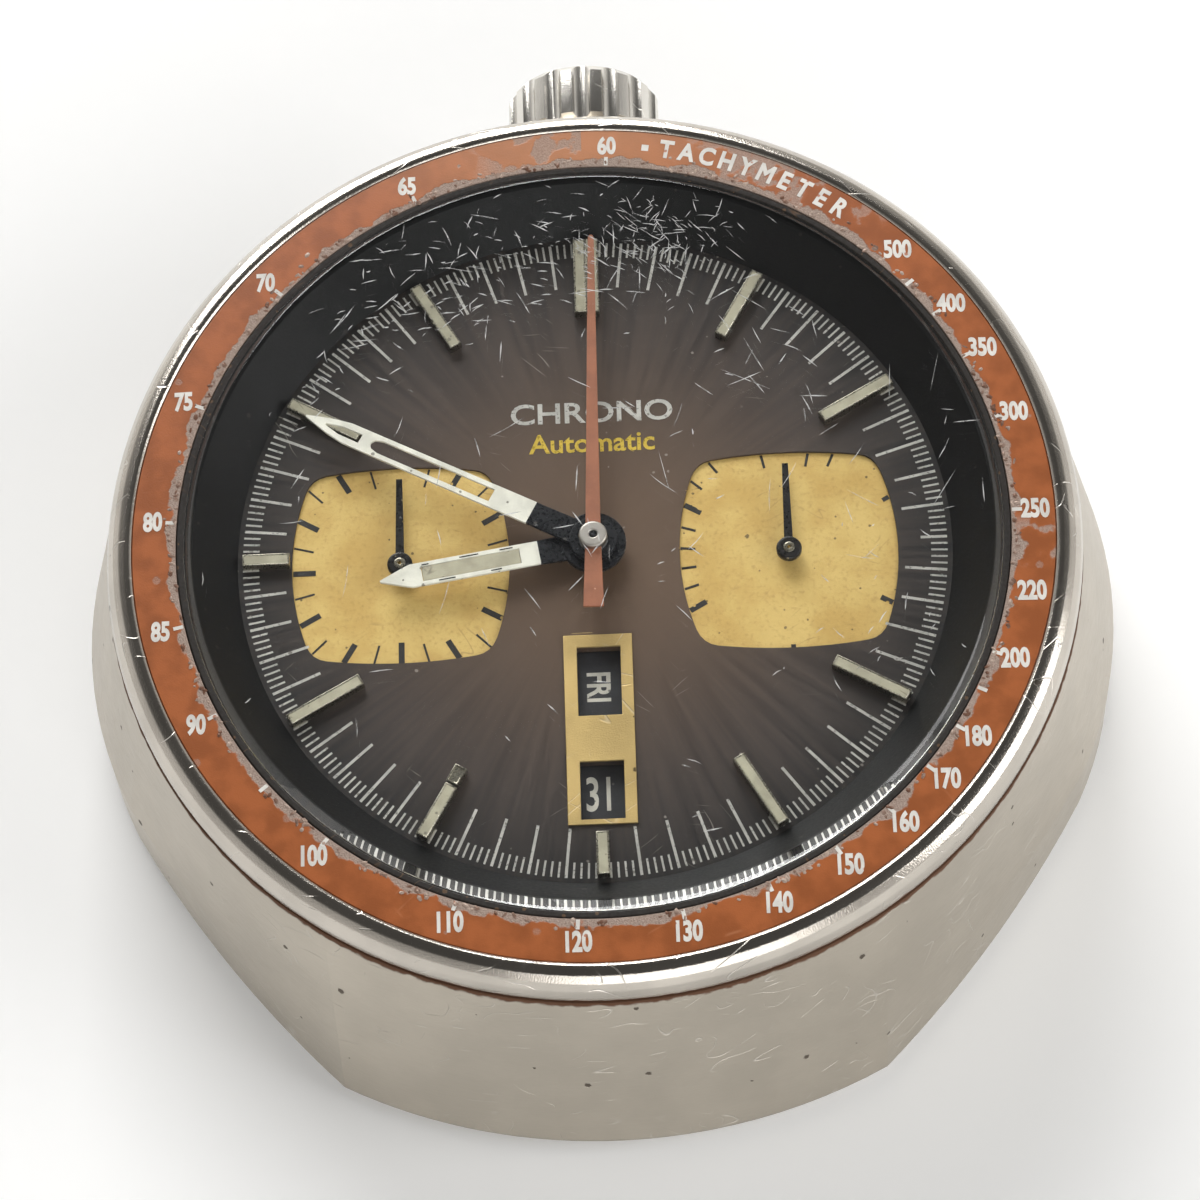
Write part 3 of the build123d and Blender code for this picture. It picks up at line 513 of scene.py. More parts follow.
def carved(piece, tools):
    """The tools' shapes are taken out of the piece by applied boolean modifiers."""
    bpy.ops.object.select_all(action="DESELECT")
    piece.select_set(True)
    bpy.context.view_layer.objects.active = piece
    for tool in tools:
        cut = piece.modifiers.new("Opening", "BOOLEAN")
        cut.operation, cut.solver, cut.object = "DIFFERENCE", "EXACT", tool
        bpy.ops.object.modifier_apply(modifier=cut.name)
        bpy.data.objects.remove(tool)
    return piece


def box_outline(box, grow=0.0):
    x0, x1, y0, y1 = box[0] - grow, box[1] + grow, box[2] - grow, box[3] + grow
    return [(x0, y0), (x1, y0), (x1, y1), (x0, y1)]


dial = turned("dial_plate", [(1.0, -0.399), (15.59, -0.399), (15.59, -0.001), (1.0, -0.001)], 180)
openings = [cut_sheet("opening", [(x + side * 8.1, y + RECORDER_MIDDLE_Y) for x, y in OUTLINE], -0.6, 0.2)
            for side in (-1, 1)]
openings += [cut_sheet("opening", box_outline(box), -0.6, 0.2) for box in (DAY_BOX, DATE_BOX)]
carved(dial, openings)
rounded(dial, 0.015, 2, 40)
bpy.ops.mesh.customdata_custom_splitnormals_clear()
seated(dial, "case", "dial_brown", nodes=("dial",))

# %% [markdown]
# Each recorder's floor is a sheet of the same outline, set into its opening from below.

# %% Recorder floors
for name, (x, y) in RECORDER.items():
    outline = [(px + x, py + RECORDER_MIDDLE_Y) for px, py in OUTLINE]
    floor_sheet = cut_sheet(f"{name}_recorder_floor", outline, -0.39, -RECORDER_DEPTH)
    rounded(floor_sheet, 0.01, 1, 50)
    seated(floor_sheet, "case", "gold_plate", "recorder_gold")

# %% [markdown]
# The recorder scales are printed black. The left one counts hours, with a bold tick every hour and a thin one every
# half; the right one counts minutes, and much of its print has worn away. Each tick ends at the recorder's edge, so
# its outer end is where a line from the recorder's hand meets the outline.

# %% Recorder ticks
def edge_distance(degrees, start):
    """How far the outline is from the hand's axis in a clock direction."""
    dx, dy = math.sin(math.radians(degrees)), math.cos(math.radians(degrees))
    best = 9.0
    for (x0, y0), (x1, y1) in zip(OUTLINE, OUTLINE[1:] + OUTLINE[:1]):
        x0, y0, x1, y1 = x0 - start[0], y0 - start[1], x1 - start[0], y1 - start[1]
        ex, ey = x1 - x0, y1 - y0
        cross = dx * ey - dy * ex
        if abs(cross) > 1e-9:
            along, share = (x0 * ey - y0 * ex) / cross, (x0 * dy - y0 * dx) / cross
            if along > 0 and 0 <= share <= 1:
                best = min(best, along)
    return best


def flat_bar(name, width, length, low=0.0, thick=0.012):
    """A thin printed bar that runs inwards from the origin, down -Y."""
    bpy.ops.mesh.primitive_cube_add(size=1, location=(0, 0, 0), scale=(width * MM, length * MM, thick * MM))
    bar = bpy.context.object
    bar.name = name
    bpy.ops.object.transform_apply(scale=True)
    bar.data.transform(moved(0, -length / 2, low + thick / 2))
    return bar


HAND_IN_RECORDER = (0.0, RECORDER["minute"][1] - RECORDER_MIDDLE_Y)
LEFT_TICKS = [(n * 30, 0.25, 0.95) for n in range(1, 12)] + [(n * 30 + 15, 0.09, 0.85) for n in range(12)]
RIGHT_TICKS = [(n * 12, 0.11, 0.62) for n in (1, 2, 21, 22, 23, 24, 26, 27, 29)]
RIGHT_TICKS += [(240, 0.24, 0.78), (300, 0.24, 0.78), (120, 0.24, 0.55), (60, 0.2, 0.3), (264, 0.10, 0.35),
                (180, 0.2, 0.15)]
for name, ticks in (("hour", LEFT_TICKS), ("minute", RIGHT_TICKS)):
    x, y = RECORDER[name]
    bars = []
    for angle, width, length in ticks:
        reach = edge_distance(angle, HAND_IN_RECORDER) - 0.04
        bar = flat_bar("tick", width, length, -RECORDER_DEPTH)
        bar.data.transform(moved(x, y) @ clock_turn(angle) @ moved(0, reach))
        bars.append(bar)
    scale = joined(f"{name}_recorder_ticks", bars)
    rounded(scale, 0.003, 1, 60)
    seated(scale, "case", "hand_black", "worn_black_print")

# %% [markdown]
# The seconds track round the dial has a long line for every second and four short ones between, because the
# movement beats five times a second. Near 9 and 3 the long lines are cut short to clear the recorders.

# %% Seconds track
TRACK_R, TRACK_THICK = 14.7, 0.01
track = []
for second in range(60):
    if second % 5 == 0 and second != 15:
        continue
    beside = min(abs(second - 15), abs(second - 45))
    length = 1.1 if second == 15 else 2.15 if beside > 2 else 1.75
    bar = flat_bar("line", 0.12, length, 0.0, TRACK_THICK)
    bar.data.transform(clock_turn(second * 6) @ moved(0, TRACK_R))
    track.append(bar)
fifths = repeated("fifths", flat_bar("line", 0.085, 0.68, 0.0, TRACK_THICK), [
    clock_turn(n * 1.2) @ moved(0, TRACK_R) for n in range(300) if n % 5 or (n % 25 == 0 and n != 75)])
track_print = joined("seconds_track", track + [fifths])
rounded(track_print, 0.003, 1, 60)
seated(track_print, "case", "hand_white", "silver_print")

# %% [markdown]
# Two generic words stand under 12, the first in silver and the second in gold. Each is text turned to mesh, a
# hundredth of a millimetre thick.

# %% Words under 12
for name, words, size, squeeze, y, finish in (("dial_word_silver", "CHRONO", 1.35, 1.15, 6.45, "silver_print"),
                                              ("dial_word_gold", "Automatic", 1.25, 1.0, 5.02, "gold_print")):
    made = lettering(words, size, bold=0.02, squeeze=squeeze)
    made.name = name
    made.data.transform(moved(0.05, y, 0.006))
    seated(made, "case", "gold_plate" if finish == "gold_print" else "hand_white", finish)

# %% [markdown]
# The hour markers are steel batons with a cream luminous strip let into the top. Each is a bar whose top face is
# inset and pushed down to make the trough, and the strip fills it. The one at 12 is double width with two strips,
# the one at 3 has fallen off, and the one at 7 is cracked near its inner end.

# %% Hour markers
MARKER_R, MARKER_W, MARKER_H = (11.25, 14.68), 0.53, 0.448
INNER_R = {6: 12.81, 9: 12.71, 12: 11.1}


def top_faces(piece, height):
    """Selects the faces that look up at a height in mm."""
    bpy.ops.mesh.select_all(action="DESELECT")
    bpy.ops.object.mode_set(mode="OBJECT")
    for face in piece.data.polygons:
        face.select = face.normal.z > 0.9 and abs(face.center.z / MM - height) < 0.01
    bpy.ops.object.mode_set(mode="EDIT")
    bpy.ops.mesh.select_mode(type="FACE")


def baton(width, inner, outer):
    """A steel bar with a trough in its top."""
    bpy.ops.mesh.primitive_cube_add(size=1, location=(0, 0, 0))
    bar = bpy.context.object
    bar.name = "baton"
    bar.data.transform(moved(0, (inner + outer) / 2, MARKER_H / 2) @ Matrix.Diagonal(
        (width * MM, (outer - inner) * MM, MARKER_H * MM, 1)))
    bpy.ops.object.mode_set(mode="EDIT")
    top_faces(bar, MARKER_H)
    bpy.ops.mesh.inset(thickness=0.075 * MM, depth=0)
    bpy.ops.mesh.extrude_region_move(TRANSFORM_OT_translate={"value": (0, 0, -0.05 * MM)})
    closed_up()
    return rounded(bar, 0.02, 2, 30)


def strip(width, inner, outer):
    """The luminous paste in a baton's trough, a little rounded on top."""
    bpy.ops.mesh.primitive_cube_add(size=1, location=(0, 0, 0))
    paste = bpy.context.object
    paste.name = "lume_strip"
    paste.data.transform(moved(0, (inner + outer) / 2, MARKER_H - 0.035) @ Matrix.Diagonal(
        ((width - 0.15) * MM, (outer - inner - 0.15) * MM, 0.05 * MM, 1)))
    return rounded(paste, 0.015, 2, 30)


bars, strips = [], []
for hour in (1, 2, 4, 5, 6, 7, 8, 9, 10, 11, 12):
    inner = INNER_R.get(hour, MARKER_R[0])
    if hour == 7:
        stub = baton(MARKER_W, inner, inner + 0.82)
        stub.data.transform(clock_turn(210) @ moved(0.05, 0))
        bars.append(stub)
        inner += 0.9
    for offset in (-MARKER_W / 2, MARKER_W / 2) if hour == 12 else (0.0,):
        for make, group in ((baton, bars), (strip, strips)):
            made = make(MARKER_W, inner, MARKER_R[1])
            made.data.transform(clock_turn(hour * 30) @ moved(offset, 0))
            group.append(made)
seated(joined("hour_batons", bars), "case", "lume", "polished_steel", nodes=("hour_markers",))
seated(joined("hour_lume", strips), "case", "lume", "lume_paste")

# %% [markdown]
# The calendar window is a gold frame cut from one strip, with a tall opening for the day and a square one for the
# date. Below it turn two dark discs. Their print goes all the way round, so that any day and date can come up.

# %% Calendar frame
frame_plate = cut_sheet("calendar_frame_gold", box_outline(FRAME_BOX, -0.002), 0.0, 0.118)
carved(frame_plate, [cut_sheet("opening", box_outline(box), -0.2, 0.3) for box in (DAY_BOX, DATE_BOX)])
rounded(frame_plate, 0.025, 2, 40)
seated(frame_plate, "case", "gold_plate", "worn_gold", nodes=("calendar_frame",))

# %% [markdown]
# The date ring carries 31 numbers and the day disc carries the week twice, one after another round the whole turn.
# Each print rides on the disc that it is printed on.

# %% Print on the date ring and the day disc
DISC_TOP = -0.55
DATE_MIDDLE_R, DAY_MIDDLE_R = 10.87, 6.0


def on_disc(share, r, lie):
    """A place for print on a calendar disc, a share of a turn after the window."""
    return (clock_turn(180 + share * 360) @ moved(0.05, r) @ Matrix.Rotation(lie, 4, "Z")
            @ moved(0, 0, DISC_TOP + 0.006))


dates = []
for n in range(31):
    number = lettering(str((30 + n) % 31 + 1), 2.1, 0.008, 0.03, 0.62)
    number.data.transform(on_disc(n / 31, DATE_MIDDLE_R, math.pi))
    dates.append(number)
seated(joined("date_numbers", dates), "date_body", "disc_dark", "disc_print")
days = []
for n in range(14):
    day = lettering(("FRI", "SAT", "SUN", "MON", "TUE", "WED", "THU")[n % 7], 1.35, 0.008, 0.03, 0.8)
    day.data.transform(on_disc(n / 14, DAY_MIDDLE_R, math.pi / 2))
    days.append(day)
seated(joined("day_names", days), "day_body", "disc_dark", "disc_print")

# %% [markdown]
# The hands are thin sheet, pressed on at the middle. Each is given by its right-hand edge, which is mirrored to the
# left, and slots are cut through it by boolean modifiers.

# %% Hand helper
def blade(name, outline, low, high):
    """A hand's sheet, given its right-hand edge as (half width, distance along) pairs."""
    left = [(-w, y) for w, y in reversed(outline)]
    return cut_sheet(name, outline + left, low, high)


def framed(name, outline, slots, low, high):
    """A blade with slots cut through it, its edges softened."""
    tools = [blade("slot", slot, low - 1, high + 1) for slot in slots]
    return rounded(carved(blade(name, outline, low, high), tools), 0.018, 2, 30)


print("the hands point at, degrees from 12:", CLOCK)

# %% [markdown]
# The minute hand has a black base, so that only its white frame seems to float over the dial. The luminous paste
# has fallen out of its slots, and what lies below shows through.

# %% Minute hand
turn = clock_turn(CLOCK["minute"])
base = rounded(blade("minute_hand_base", [(0.56, 0.0), (0.53, 2.90)], 0.952, 1.098), 0.02, 2, 30)
hub = turned("minute_hub", [(0.61, 0.922), (1.0, 0.922), (1.0, 1.158), (0.61, 1.158)], 72)
rounded(hub, 0.03, 2, 30)
seated(joined("minute_hand_black", [base, hub]), "minute_work", "hand_black", place=turn)
white = framed("minute_hand_white", [(0.53, 2.87), (0.50, 11.6), (0.36, 12.4), (0.04, 13.55)],
               [[(0.30, 4.75), (0.30, 10.0), (0.20, 10.35), (0.05, 10.45)],
                [(0.21, 10.95), (0.20, 11.9), (0.04, 12.6)]], 0.955, 1.095)
seated(white, "minute_work", "hand_white", "old_white", nodes=("minute_hand",), place=turn)

# %% [markdown]
# The hour hand is made the same way, and its paste is still there. Its white edges have chipped, which is drawn by
# small dark dashes laid on them.

# %% Hour hand
turn = clock_turn(CLOCK["hour"])
base = rounded(blade("hour_hand_base", [(0.62, 0.0), (0.54, 2.32)], 0.682, 0.818), 0.02, 2, 30)
hub = turned("hour_hub", [(0.86, 0.602), (1.35, 0.602), (1.35, 0.868), (0.86, 0.868)], 72)
rounded(hub, 0.03, 2, 30)
seated(joined("hour_hand_black", [base, hub]), "hour_work", "hand_black", place=turn)
white = framed("hour_hand_white", [(0.53, 2.29), (0.53, 7.7), (0.45, 7.95), (0.04, 9.02)],
               [[(0.34, 3.1), (0.34, 7.25)]], 0.685, 0.815)
seated(white, "hour_work", "hand_white", "old_white", nodes=("hour_hand",), place=turn)
paste = rounded(blade("hour_hand_lume", [(0.335, 3.12), (0.335, 7.23)], 0.695, 0.802), 0.02, 2, 30)
seated(paste, "hour_work", "hand_white", "lume_paste", place=turn)
dashes = [flat_bar("dash", 0.05, length, 0.818, 0.006) for length in (0.55, 0.8, 0.45, 0.7, 0.3)]
for dash, (x, y) in zip(dashes, ((0.43, 3.9), (0.43, 5.6), (-0.43, 4.4), (-0.43, 6.6), (0.40, 7.2))):
    dash.data.transform(moved(x, y))
chips = joined("hour_hand_chips", dashes)
seated(chips, "hour_work", "hand_black", place=turn)

# %% [markdown]
# The chronograph hand is one long orange blade on a small steel boss, with the end of its arbor in the middle.

# %% Chronograph hand
turn = clock_turn(CLOCK["chrono"])
orange = blade("chrono_hand_orange", [(0.43, -3.21), (0.32, 0.0), (0.13, 14.2), (0.06, 14.34)], 1.283, 1.397)
rounded(orange, 0.02, 2, 30)
seated(orange, "chrono_body", "hand_orange", nodes=("chrono_seconds_hand",), place=turn)
boss = turned("chrono_boss", [
    (0.16, 1.225), (0.59, 1.225), (0.59, 1.60), (0.52, 1.655), (0.21, 1.655), (0.16, 1.60)], 72)
rounded(boss, 0.03, 3, 25)
seated(boss, "chrono_body", "steel_part", "grey_steel", place=turn)
pin = turned("chrono_arbor_tip", [(0, 1.2), (0.155, 1.2), (0.155, 1.56), (0.12, 1.60), (0, 1.60)], 36)
rounded(pin, 0.02, 2, 25)
seated(pin, "chrono_body", "hand_black", place=turn)

# %% [markdown]
# Each recorder has a small black needle with a boss, and a steel pin in the boss's middle.

# %% Recorder hands
for name, (x, y) in RECORDER.items():
    needle = rounded(blade(f"{name}_recorder_needle", [(0.19, 0.0), (0.13, 3.98)], 0.323, 0.417), 0.015, 2, 30)
    boss = turned("recorder_boss", [(0.15, 0.255), (0.53, 0.255), (0.53, 0.50), (0.47, 0.56), (0.15, 0.56)], 60)
    rounded(boss, 0.03, 2, 25)
    seated(joined(f"{name}_recorder_needle", [needle, boss]), f"{name}_recorder", "hand_black", "worn_black",
           nodes=(f"{name}_recorder_hand",), place=moved(x, y))
    cap = turned(f"{name}_recorder_pin", [
        (0.085, 0.50), (0.24, 0.50), (0.24, 0.595), (0.20, 0.615), (0.085, 0.615)], 48)
    rounded(cap, 0.02, 2, 25)
    seated(cap, f"{name}_recorder", "steel_part", "polished_steel", place=moved(x, y))

# %% [markdown]
# The crown is turned steel with sixteen flutes. The flutes are cut by a ring of rods taken away from the turning,
# and the edges are then rounded, because fingers have polished them. It is modelled standing up, like a part in a
# lathe, and tipped over to lie along the stem.

# %% Crown
CROWN_Z, CROWN_FLUTES, FLUTE_R, FLUTE_AT = -3.4, 16, 0.44, 3.50
LYING = moved(0, 0, CROWN_Z) @ Matrix.Rotation(math.radians(-90), 4, "X")
crown = turned("crown_fluted", [
    (0.56, 21.31), (0.56, 22.6), (1.36, 22.6), (1.36, 21.31), (2.95, 21.31), (3.32, 21.62), (3.34, 23.75),
    (3.05, 24.1), (1.9, 24.19), (0.56, 24.19)], 192)
rods = []
for n in range(CROWN_FLUTES):
    angle = WHOLE_TURN * n / CROWN_FLUTES
    bpy.ops.mesh.primitive_cylinder_add(
        vertices=32, radius=FLUTE_R * MM, depth=5 * MM,
        location=(FLUTE_AT * MM * math.cos(angle), FLUTE_AT * MM * math.sin(angle), 22.7 * MM))
    rods.append(bpy.context.object)
for rod in rods:
    rod.data.transform(Matrix.Translation(rod.location))
    rod.location = (0, 0, 0)
carved(crown, [joined("flutes", rods)])
cap = turned("crown_end", [(0, 22.3), (0.56, 22.3), (0.56, 24.19), (0, 24.19)], 60)
rounded(crown, 0.07, 3, 35)
seated(joined("crown_fluted", [crown, cap]), "crown_and_stem", "case_steel", "crown_steel",
       nodes=("crown",), place=LYING)

# %% [markdown]
# The case back is turned steel with six notches in its rim for the opening wrench. It lies level under the leaning
# dial, so it is modelled where it is, and the dial's seat is taken back off before the piece is seated. Its edges
# are softened a little, and its steel is the case's own.

# %% Case back
BACK_FLANGE_R, BACK_SPIGOT_R, NOTCHES = 16.4, 15.75, 6
LEVEL = SEAT.inverted()
back = turned("case_back_turned", [
    (0, 0.002), (16.0, 0.002), (BACK_FLANGE_R - 0.005, 0.002), (BACK_FLANGE_R - 0.005, 0.8),
    (BACK_SPIGOT_R - 0.005, 0.8), (BACK_SPIGOT_R - 0.005, 2.9), (BACK_SPIGOT_R - 0.75, 2.9),
    (BACK_SPIGOT_R - 0.75, 1.3), (0, 1.3)], 144)
notches = []
for n in range(NOTCHES):
    notch = cut_sheet("notch", box_outline((BACK_FLANGE_R - 0.5, BACK_FLANGE_R + 1, -1.5, 1.5)), -0.5, 0.45)
    notch.data.transform(Matrix.Rotation(WHOLE_TURN * n / NOTCHES, 4, "Z"))
    notches.append(notch)
carved(back, [joined("notches", notches)])
rounded(back, 0.05, 2, 35)
seated(back, "case", "case_steel", nodes=("case_back",), place=LEVEL)

# %% [markdown]
# Every finish is built from procedural nodes on Object coordinates, in real millimetres. The effects that several
# finishes share are node groups: where a point is on the dial, scratches, specks and grain. Each group gives out
# only values that change over the surface, and the shader itself stays in the material.

# %% Helpers that build materials
finishes = {}


def colour(red, green, blue):
    """A screen colour from 0 to 255 as the linear colour that a shader takes."""
    return tuple(((c / 255 + 0.055) / 1.055) ** 2.4 for c in (red, green, blue)) + (1.0,)


def node(tree, kind, inputs=None, **settings):
    """A node with its settings, and its inputs set to values or linked to sockets."""
    made = tree.nodes.new("ShaderNode" + kind)
    for name, value in settings.items():
        setattr(made, name, value)
    for name, value in (inputs or {}).items():
        if isinstance(value, bpy.types.NodeSocket):
            tree.links.new(value, made.inputs[name])
        else:
            made.inputs[name].default_value = value
    return made


def calc(tree, operation, first, second=0.0, clamp=False):
    return node(tree, "Math", {0: first, 1: second}, operation=operation, use_clamp=clamp).outputs[0]


def times(tree, first, second):
    return calc(tree, "MULTIPLY", first, second)


def plus(tree, first, second):
    return calc(tree, "ADD", first, second)


def minus(tree, first, second):
    return calc(tree, "SUBTRACT", first, second)


def ramp(tree, value, low, high, start=0.0, end=1.0):
    """start below low, end above high, and a smooth change between."""
    made = node(tree, "MapRange", {"Value": value, "From Min": low, "From Max": high, "To Min": start, "To Max": end},
                interpolation_type="SMOOTHSTEP")
    return made.outputs["Result"]


def blend(tree, share, first, second):
    """The first colour, and the second where share is 1."""
    made = node(tree, "Mix", data_type="RGBA")
    for socket, value in ((made.inputs[0], share), (made.inputs[6], first), (made.inputs[7], second)):
        if isinstance(value, bpy.types.NodeSocket):
            tree.links.new(value, socket)
        else:
            socket.default_value = value
    return made.outputs[2]


def in_mm(tree, stretch=(1, 1, 1), turn=(0, 0, 0)):
    """Object coordinates in millimetres, turned and then stretched."""
    place = node(tree, "TexCoord").outputs["Object"]
    turned_place = node(tree, "Mapping", {"Vector": place, "Rotation": turn}).outputs[0]
    return node(tree, "Mapping", {"Vector": turned_place, "Scale": [1000 * s for s in stretch]}).outputs[0]


def noise(tree, place, scale, detail, seed=None):
    """Noise read at a place, as a value. A seed picks one of many."""
    inputs = {"Vector": place, "Scale": scale, "Detail": detail}
    if seed is None:
        return node(tree, "TexNoise", inputs).outputs["Fac"]
    return node(tree, "TexNoise", {**inputs, "W": seed}, noise_dimensions="4D").outputs["Fac"]


def effect(name, inputs, outputs):
    """An empty node group with float sockets. Gives its tree, its inputs by name and its output node."""
    tree = bpy.data.node_groups.new(name, "ShaderNodeTree")
    for socket, default in inputs.items():
        tree.interface.new_socket(name=socket, in_out="INPUT", socket_type="NodeSocketFloat").default_value = default
    for socket in outputs:
        tree.interface.new_socket(name=socket, in_out="OUTPUT", socket_type="NodeSocketFloat")
    given, result = tree.nodes.new("NodeGroupInput"), tree.nodes.new("NodeGroupOutput")
    return tree, given.outputs, result


def use(tree, name, **inputs):
    """A shared effect placed in a material. Gives its outputs."""
    made = node(tree, "Group", node_tree=bpy.data.node_groups[name])
    for socket, value in inputs.items():
        if isinstance(value, bpy.types.NodeSocket):
            tree.links.new(value, made.inputs[socket])
        else:
            made.inputs[socket].default_value = value
    return made.outputs


print("a screen colour of 128 is", round(colour(128, 128, 128)[0], 3), "to a shader")

# %% [markdown]
# Several finishes need to know where a point is on the dial. The seat is undone by a Mapping node, which also turns
# metres to millimetres. The group then gives out the distance from the axis, the turn from 12 as a share, and the
# height over the dial.

# %% Effect: where a point is on the dial
tree, given, result = effect("Place on dial", {}, ("Radius", "Turn", "Height"))
place = node(tree, "TexCoord").outputs["Object"]
flat = node(tree, "Mapping", {
    "Vector": place, "Rotation": (LEAN, 0, 0), "Scale": (MM, MM, MM),
    "Location": SEAT.translation}, vector_type="TEXTURE").outputs[0]
axes = node(tree, "SeparateXYZ", {0: flat}).outputs
across = node(tree, "CombineXYZ", {"X": axes["X"], "Y": axes["Y"]}).outputs[0]
tree.links.new(node(tree, "VectorMath", {0: across}, operation="LENGTH").outputs["Value"], result.inputs["Radius"])
turn = calc(tree, "DIVIDE", calc(tree, "ARCTAN2", axes["X"], axes["Y"]), WHOLE_TURN)
tree.links.new(calc(tree, "FRACT", plus(tree, turn, 1.0)), result.inputs["Turn"])
tree.links.new(axes["Z"], result.inputs["Height"])
print(tree.name, "has", len(tree.nodes), "nodes")

# %% [markdown]
# A scratch is a long thin line. Noise that is stretched along one direction and kept only where it crosses its
# middle value gives exactly that, and three directions at once look like years of use. A second, soft noise breaks
# the lines up.

# %% Effect: scratches
tree, given, result = effect("Scratches", {"Scale": 1.0, "Width": 0.014, "Amount": 0.5}, ("Lines",))
total = None
for turn, seed in (((0.0, 0.12, 0.15), 1.0), ((0.0, -0.35, 0.75), 5.0), ((0.0, 0.3, -0.6), 9.0)):
    spot = in_mm(tree, (0.035, 1.1, 1.1), turn)
    spot = node(tree, "VectorMath", {0: spot, "Scale": given["Scale"]}, operation="SCALE").outputs[0]
    wave = noise(tree, spot, 1.0, 0.3, seed)
    line = ramp(tree, calc(tree, "ABSOLUTE", minus(tree, wave, 0.5)), 0.0, given["Width"], 1.0, 0.0)
    patch = noise(tree, in_mm(tree), 0.45, 2.0, seed)
    limit = minus(tree, 0.85, times(tree, given["Amount"], 0.5))
    line = times(tree, line, ramp(tree, patch, limit, plus(tree, limit, 0.08)))
    total = line if total is None else calc(tree, "MAXIMUM", total, line)
tree.links.new(total, result.inputs["Lines"])
print(tree.name, "has", len(tree.nodes), "nodes")

# %% [markdown]
# Specks are the middles of Voronoi cells. A share of the cells is kept, each speck has its own size, and a little
# noise makes its edge ragged.

# %% Effect: specks
tree, given, result = effect("Specks", {"Scale": 1.0, "Size": 0.2, "Amount": 0.3}, ("Dots",))
cells = node(tree, "TexVoronoi", {"Vector": in_mm(tree), "Scale": given["Scale"], "Randomness": 1.0})
chosen = node(tree, "SeparateColor", {"Color": cells.outputs["Color"]}).outputs
size = times(tree, given["Size"], plus(tree, times(tree, chosen[1], 0.8), 0.3))
ragged = noise(tree, in_mm(tree), 9.0, 2.0)
far = plus(tree, cells.outputs["Distance"], times(tree, minus(tree, ragged, 0.5), 0.12))
dot = ramp(tree, far, times(tree, size, 0.7), size, 1.0, 0.0)
kept = calc(tree, "LESS_THAN", chosen[0], given["Amount"])
tree.links.new(times(tree, dot, kept), result.inputs["Dots"])
print(tree.name, "has", len(tree.nodes), "nodes")

# %% [markdown]
# Grain is two noises: a fine one for the surface's own texture, and a large soft one for clouds of tarnish or
# fading.

# %% Effect: grain
tree, given, result = effect("Grain", {"Fine scale": 14.0, "Cloud scale": 0.35}, ("Fine", "Cloud"))
fine = noise(tree, in_mm(tree), given["Fine scale"], 3.0)
cloud = noise(tree, in_mm(tree), given["Cloud scale"], 4.0)
tree.links.new(fine, result.inputs["Fine"])
tree.links.new(cloud, result.inputs["Cloud"])
print("shared effects:", [group.name for group in bpy.data.node_groups])


# %% [markdown]
# Every finish starts as one Principled shader. Values that are the same all over go on the shader's own sockets,
# and what varies is linked to it afterwards.

# %% A finish starts as one shader
def start_finish(name, **plain):
    """A material with a Principled shader. Its plain values go on the shader's own sockets."""
    made = bpy.data.materials.new(name)
    made.use_nodes = True
    tree = made.node_tree
    shader = tree.nodes["Principled BSDF"]
    for socket, value in plain.items():
        shader.inputs[socket.replace("_", " ")].default_value = value
    finishes[name] = made
    return tree, shader


def feed(tree, shader, base=None, rough=None, height=None, depth=0.01, metal=None, alpha=None, edge=0.0):
    """Links what was made to the shader: colour, roughness, and a height in mm through a bump."""
    for socket, value in (("Base Color", base), ("Roughness", rough), ("Metallic", metal), ("Alpha", alpha)):
        if value is not None:
            tree.links.new(value, shader.inputs[socket])
    around = node(tree, "Bevel", {"Radius": edge * MM}, samples=4).outputs[0] if edge else None
    if height is not None:
        bump = node(tree, "Bump", {"Strength": 1.0, "Distance": depth * MM, "Height": height})
        if around:
            tree.links.new(around, bump.inputs["Normal"])
        around = bump.outputs[0]
    if around:
        tree.links.new(around, shader.inputs["Normal"])


print("finishes so far:", len(finishes))

# %% [markdown]
# The metals differ in colour, polish and dirt but are one family, so one function makes them: clouds of tarnish, a
# fine grain in the polish, scratches that are rough and shallow, and dark specks of grime. The edge value rounds
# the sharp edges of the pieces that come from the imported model, in the way that light falls on them.

# %% Metals
DIRT, BARE_LINE = colour(60, 48, 38), (0.85, 0.84, 0.82, 1.0)


def metal(name, shade, rough, dark=0.75, scratch=0.5, grime=0.1, grain=0.08, edge=0.0, streak=None):
    tree, shader = start_finish(name, Metallic=1.0)
    grain_map = use(tree, "Grain")
    lines = use(tree, "Scratches", Amount=scratch)["Lines"]
    dots = use(tree, "Specks", Scale=0.9, Size=0.16, Amount=grime)["Dots"]
    tarnished = tuple(c * dark for c in shade[:3]) + (1.0,)
    base = blend(tree, ramp(tree, grain_map["Cloud"], 0.35, 0.68), tarnished, shade)
    base = blend(tree, times(tree, lines, 0.22), base, BARE_LINE)
    base = blend(tree, times(tree, dots, 0.8), base, DIRT)
    fine = grain_map["Fine"]
    if streak:
        fine = noise(tree, in_mm(tree, streak), 6.0, 3.0)
    roughness = plus(tree, times(tree, minus(tree, fine, 0.5), 2.4 * grain), rough)
    roughness = calc(tree, "ADD", roughness, times(tree, plus(tree, lines, dots), 0.18), clamp=True)
    marks = plus(tree, lines, dots)
    height = minus(tree, times(tree, fine, 0.5), times(tree, marks, 0.8))
    feed(tree, shader, base, roughness, height, 0.012 * (1 + 8 * grain), edge=edge)
    return tree, shader


